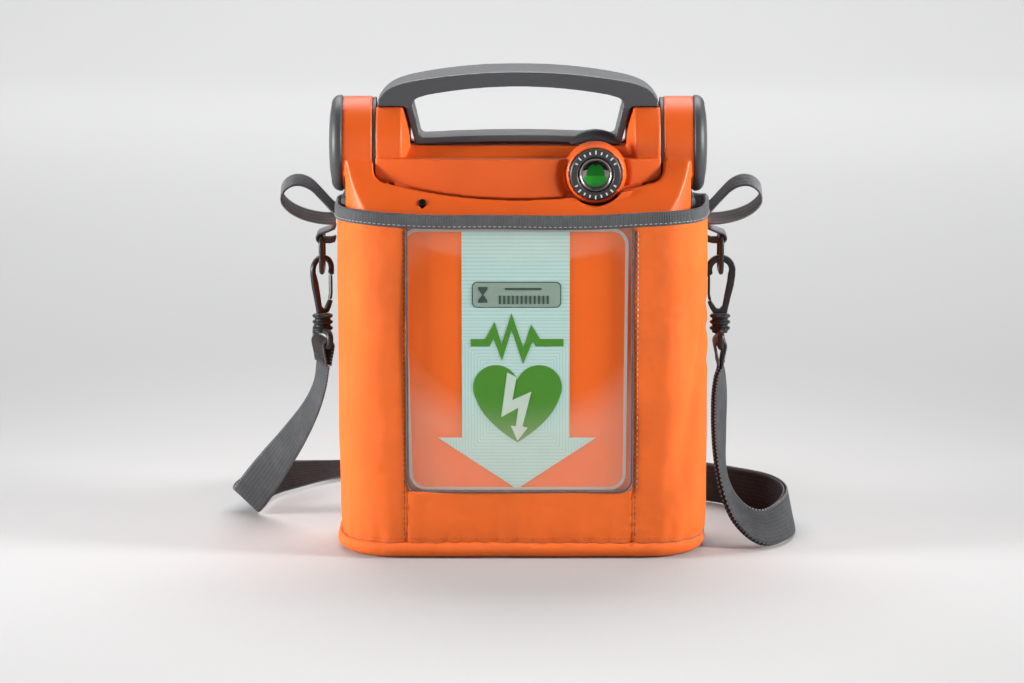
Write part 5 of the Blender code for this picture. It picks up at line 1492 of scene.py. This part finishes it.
def heart_outline(centre, half_width, low, high):
    """Two round lobes, with sides that bow out a little on their way to the point."""
    radius = half_width * 0.513
    across, up = half_width - radius, high - radius
    right = arc((across, up), radius, 162, -25, 24)
    start, pull = right[-1], (half_width * 0.785, low + (high - low) * 0.275)
    for step in range(1, 13):
        t = step / 12
        right.append(tuple((1 - t) ** 2 * a + 2 * t * (1 - t) * b + t * t * c
                           for a, b, c in zip(start, pull, (0.0, low))))
    left = [(-x, z) for x, z in reversed(right[1:-1])]
    return [(centre + x, z) for x, z in right + left]


def thick_line(points, width):
    """An open polyline drawn out to a width, with mitred corners."""
    left, right = [], []
    count = len(points)
    for index, point in enumerate(points):
        here = Vector(point)
        ahead = Vector(points[min(index + 1, count - 1)])
        behind = Vector(points[max(index - 1, 0)])
        after = (ahead - here).normalized() if index < count - 1 else (here - behind).normalized()
        before = (here - behind).normalized() if index else after
        bisector = (before + after).normalized()
        normal = Vector((-bisector.y, bisector.x))
        reach = width / 2 / max(0.45, normal.dot(Vector((-after.y, after.x))))
        left.append(tuple(here + normal * reach))
        right.append(tuple(here - normal * reach))
    return left + right[::-1]


def make_label():
    """A printed panel: a pale downward arrow on orange, a badge, a pulse line and a heart."""
    outer = slanted(rounded(-0.0695, 0.0634, 0.0424, 0.2024, 0.01))
    inner = slanted(rounded(-0.0676, 0.0615, 0.0441, 0.2004, 0.0082))
    base = prism("label_film", outer, "Y", LABEL_FACE - 0.0002, LABEL_FACE, "orange_label",
                 centre_x=0)
    belong(shade_round(base), "lid", "lid_label")
    flat_shape("label_border", [outer, inner], 0, "border")
    arrow = mm(-35.8, 200.6, -35.8, 74.7, -50.3, 74.7, -2.7, 43, 44.9, 74.7, 28.8, 74.7,
               28.8, 200.6)
    flat_shape("label_arrow", arrow, 1, "mint")
    flat_shape("label_badge_edge", rounded(-0.0297, 0.0237, 0.1543, 0.1701, 0.0032), 2,
               "badge_dark")
    flat_shape("label_badge", rounded(-0.0291, 0.0231, 0.1549, 0.1695, 0.0027), 3, "badge")
    hourglass = mm(-26, 167, -26, 165.6, -23.6, 162.2, -26, 158.8, -26, 157.4, -20.4, 157.4,
                   -20.4, 158.8, -22.8, 162.2, -20.4, 165.6, -20.4, 167)
    flat_shape("label_hourglass", hourglass, 4, "badge_dark")
    for index in range(12):
        x = -0.0136 + index * 0.0026
        bar = rounded(x, x + 0.0013, 0.1566, 0.1617, 0.0001, 1)
        flat_shape(f"label_bar_{index}", bar, 4, "badge_dark")
    scale = rounded(-0.01, 0.012, 0.165, 0.1664, 0.0006, 4)
    flat_shape("label_scale", scale, 4, "badge_dark")
    pulse = mm(-30.5, 133, -20.5, 133, -16.5, 140.5, -11.8, 127.2, -6, 145.8, 1, 125, 6.2, 139,
               9.8, 133, 25.2, 133)
    flat_shape("label_pulse", thick_line(pulse, 0.0046), 2, "ink_green")
    flat_shape("label_heart", heart_outline(-0.0024, 0.0267, 0.0719, 0.1193), 2, "ink_green")
    bolt = mm(-8.6, 114.8, -3, 111.8, -5.5, 97.9, 6, 103.1, 0.6, 81.8, 3.7, 80.8, -2.4, 72.8,
              -6.4, 82.2, -3.4, 81.8, -1.8, 93.2, -12.2, 87.4)
    flat_shape("label_bolt", bolt, 3, "ink_pale")


# What is under the lid and behind the case


def recolour(node, material):
    obj = NODES[node]
    obj.data.materials.clear()
    obj.data.materials.append(MATERIALS[material])
    shade_round(obj, 35)


CARRIED_OVER = {
    "grey_shell": ("back_housing", "front_deck", "battery_pack"),
    "grey_rubber": ("housing_gasket", "language_button", "lid_liner"),
    "steel": ("housing_screw_1", "housing_screw_2", "housing_screw_3", "housing_screw_4",
        "lid_magnet", "hinge_pin_left", "hinge_pin_right"),
    "screen": ("display",),
    "clear_lens": ("display_window",),
    "black_plastic": ("speaker", "pads_lead", "pads_socket", "battery_latch", "capacitor"),
    "pack_foil": ("pads_pack",),
    "shock_red": ("pads_connector", "shock_button"),
    "circuit_board": ("main_board",),
}


def make_deck_details():
    """Rings round the buttons, the screen's frame, and prints on the pads pack."""
    ring = lathe("shock_ring", mm(13.6, -17.1, 16.2, -17.1, 16, -18.6, 15, -19.2, 13.8, -18.7,
                                  13.6, -17.1),
                 "Y", (0.025, 0.178), "orange_shell")
    belong(shade_round(ring), "case")
    bolt = mm(26.2, 185.8, 20.5, 177.2, 24.3, 177.2, 23.2, 170.2, 29.6, 179, 25.6, 179)
    mark = prism("shock_mark", bolt, "Y", -0.0207, -0.0204, "white_print")
    belong(mark, "shock_button")
    outer = rounded(-0.0785, -0.0095, 0.1595, 0.1985, 0.0045)
    inner = rounded(-0.0757, -0.0123, 0.1623, 0.1957, 0.0027)
    bezel = prism("display_frame", [outer, inner], "Y", -0.0186, -0.0171, "grey_rubber")
    settle(bevel(bezel, 0.0006, 3, 50))
    belong(shade_round(bezel), "case")
    for name, centre in (("left", -0.04), ("right", 0.036)):
        outline = rounded(centre - 0.021, centre + 0.021, 0.052, 0.112, 0.009)
        hole = rounded(centre - 0.0195, centre + 0.0195, 0.0535, 0.1105, 0.0078)
        print_piece = prism(f"pad_print_{name}", [outline, hole], "Y", -0.0373, -0.037,
                            "pack_print")
        belong(print_piece, "case")
    band = rounded(-0.08, 0.08, 0.1235, 0.133, 0.002)
    belong(prism("pack_tear_band", band, "Y", -0.0373, -0.037, "pack_print"), "case")


def main():
    make_camera()
    make_strap()
    make_studio()
    for side in SIDES:
        for make in (make_pull_loop, make_ring_tab, make_ring, make_hook, make_swivel,
                     make_strap_end, make_end_cap):
            make(side)
    make_slider()
    make_sleeve()
    make_rim()
    make_yoke()
    make_handle()
    make_lid()
    make_lamp()
    make_label()
    make_deck_details()
    clear_tools()
    for material, nodes in CARRIED_OVER.items():
        for node in nodes:
            recolour(node, material)


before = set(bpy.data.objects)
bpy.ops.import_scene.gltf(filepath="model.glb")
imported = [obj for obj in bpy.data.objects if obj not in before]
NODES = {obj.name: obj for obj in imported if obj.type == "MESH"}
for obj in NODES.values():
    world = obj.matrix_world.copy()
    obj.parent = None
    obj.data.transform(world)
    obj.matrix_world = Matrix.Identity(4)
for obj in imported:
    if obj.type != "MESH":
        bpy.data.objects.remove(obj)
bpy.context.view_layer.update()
make_materials()
main()
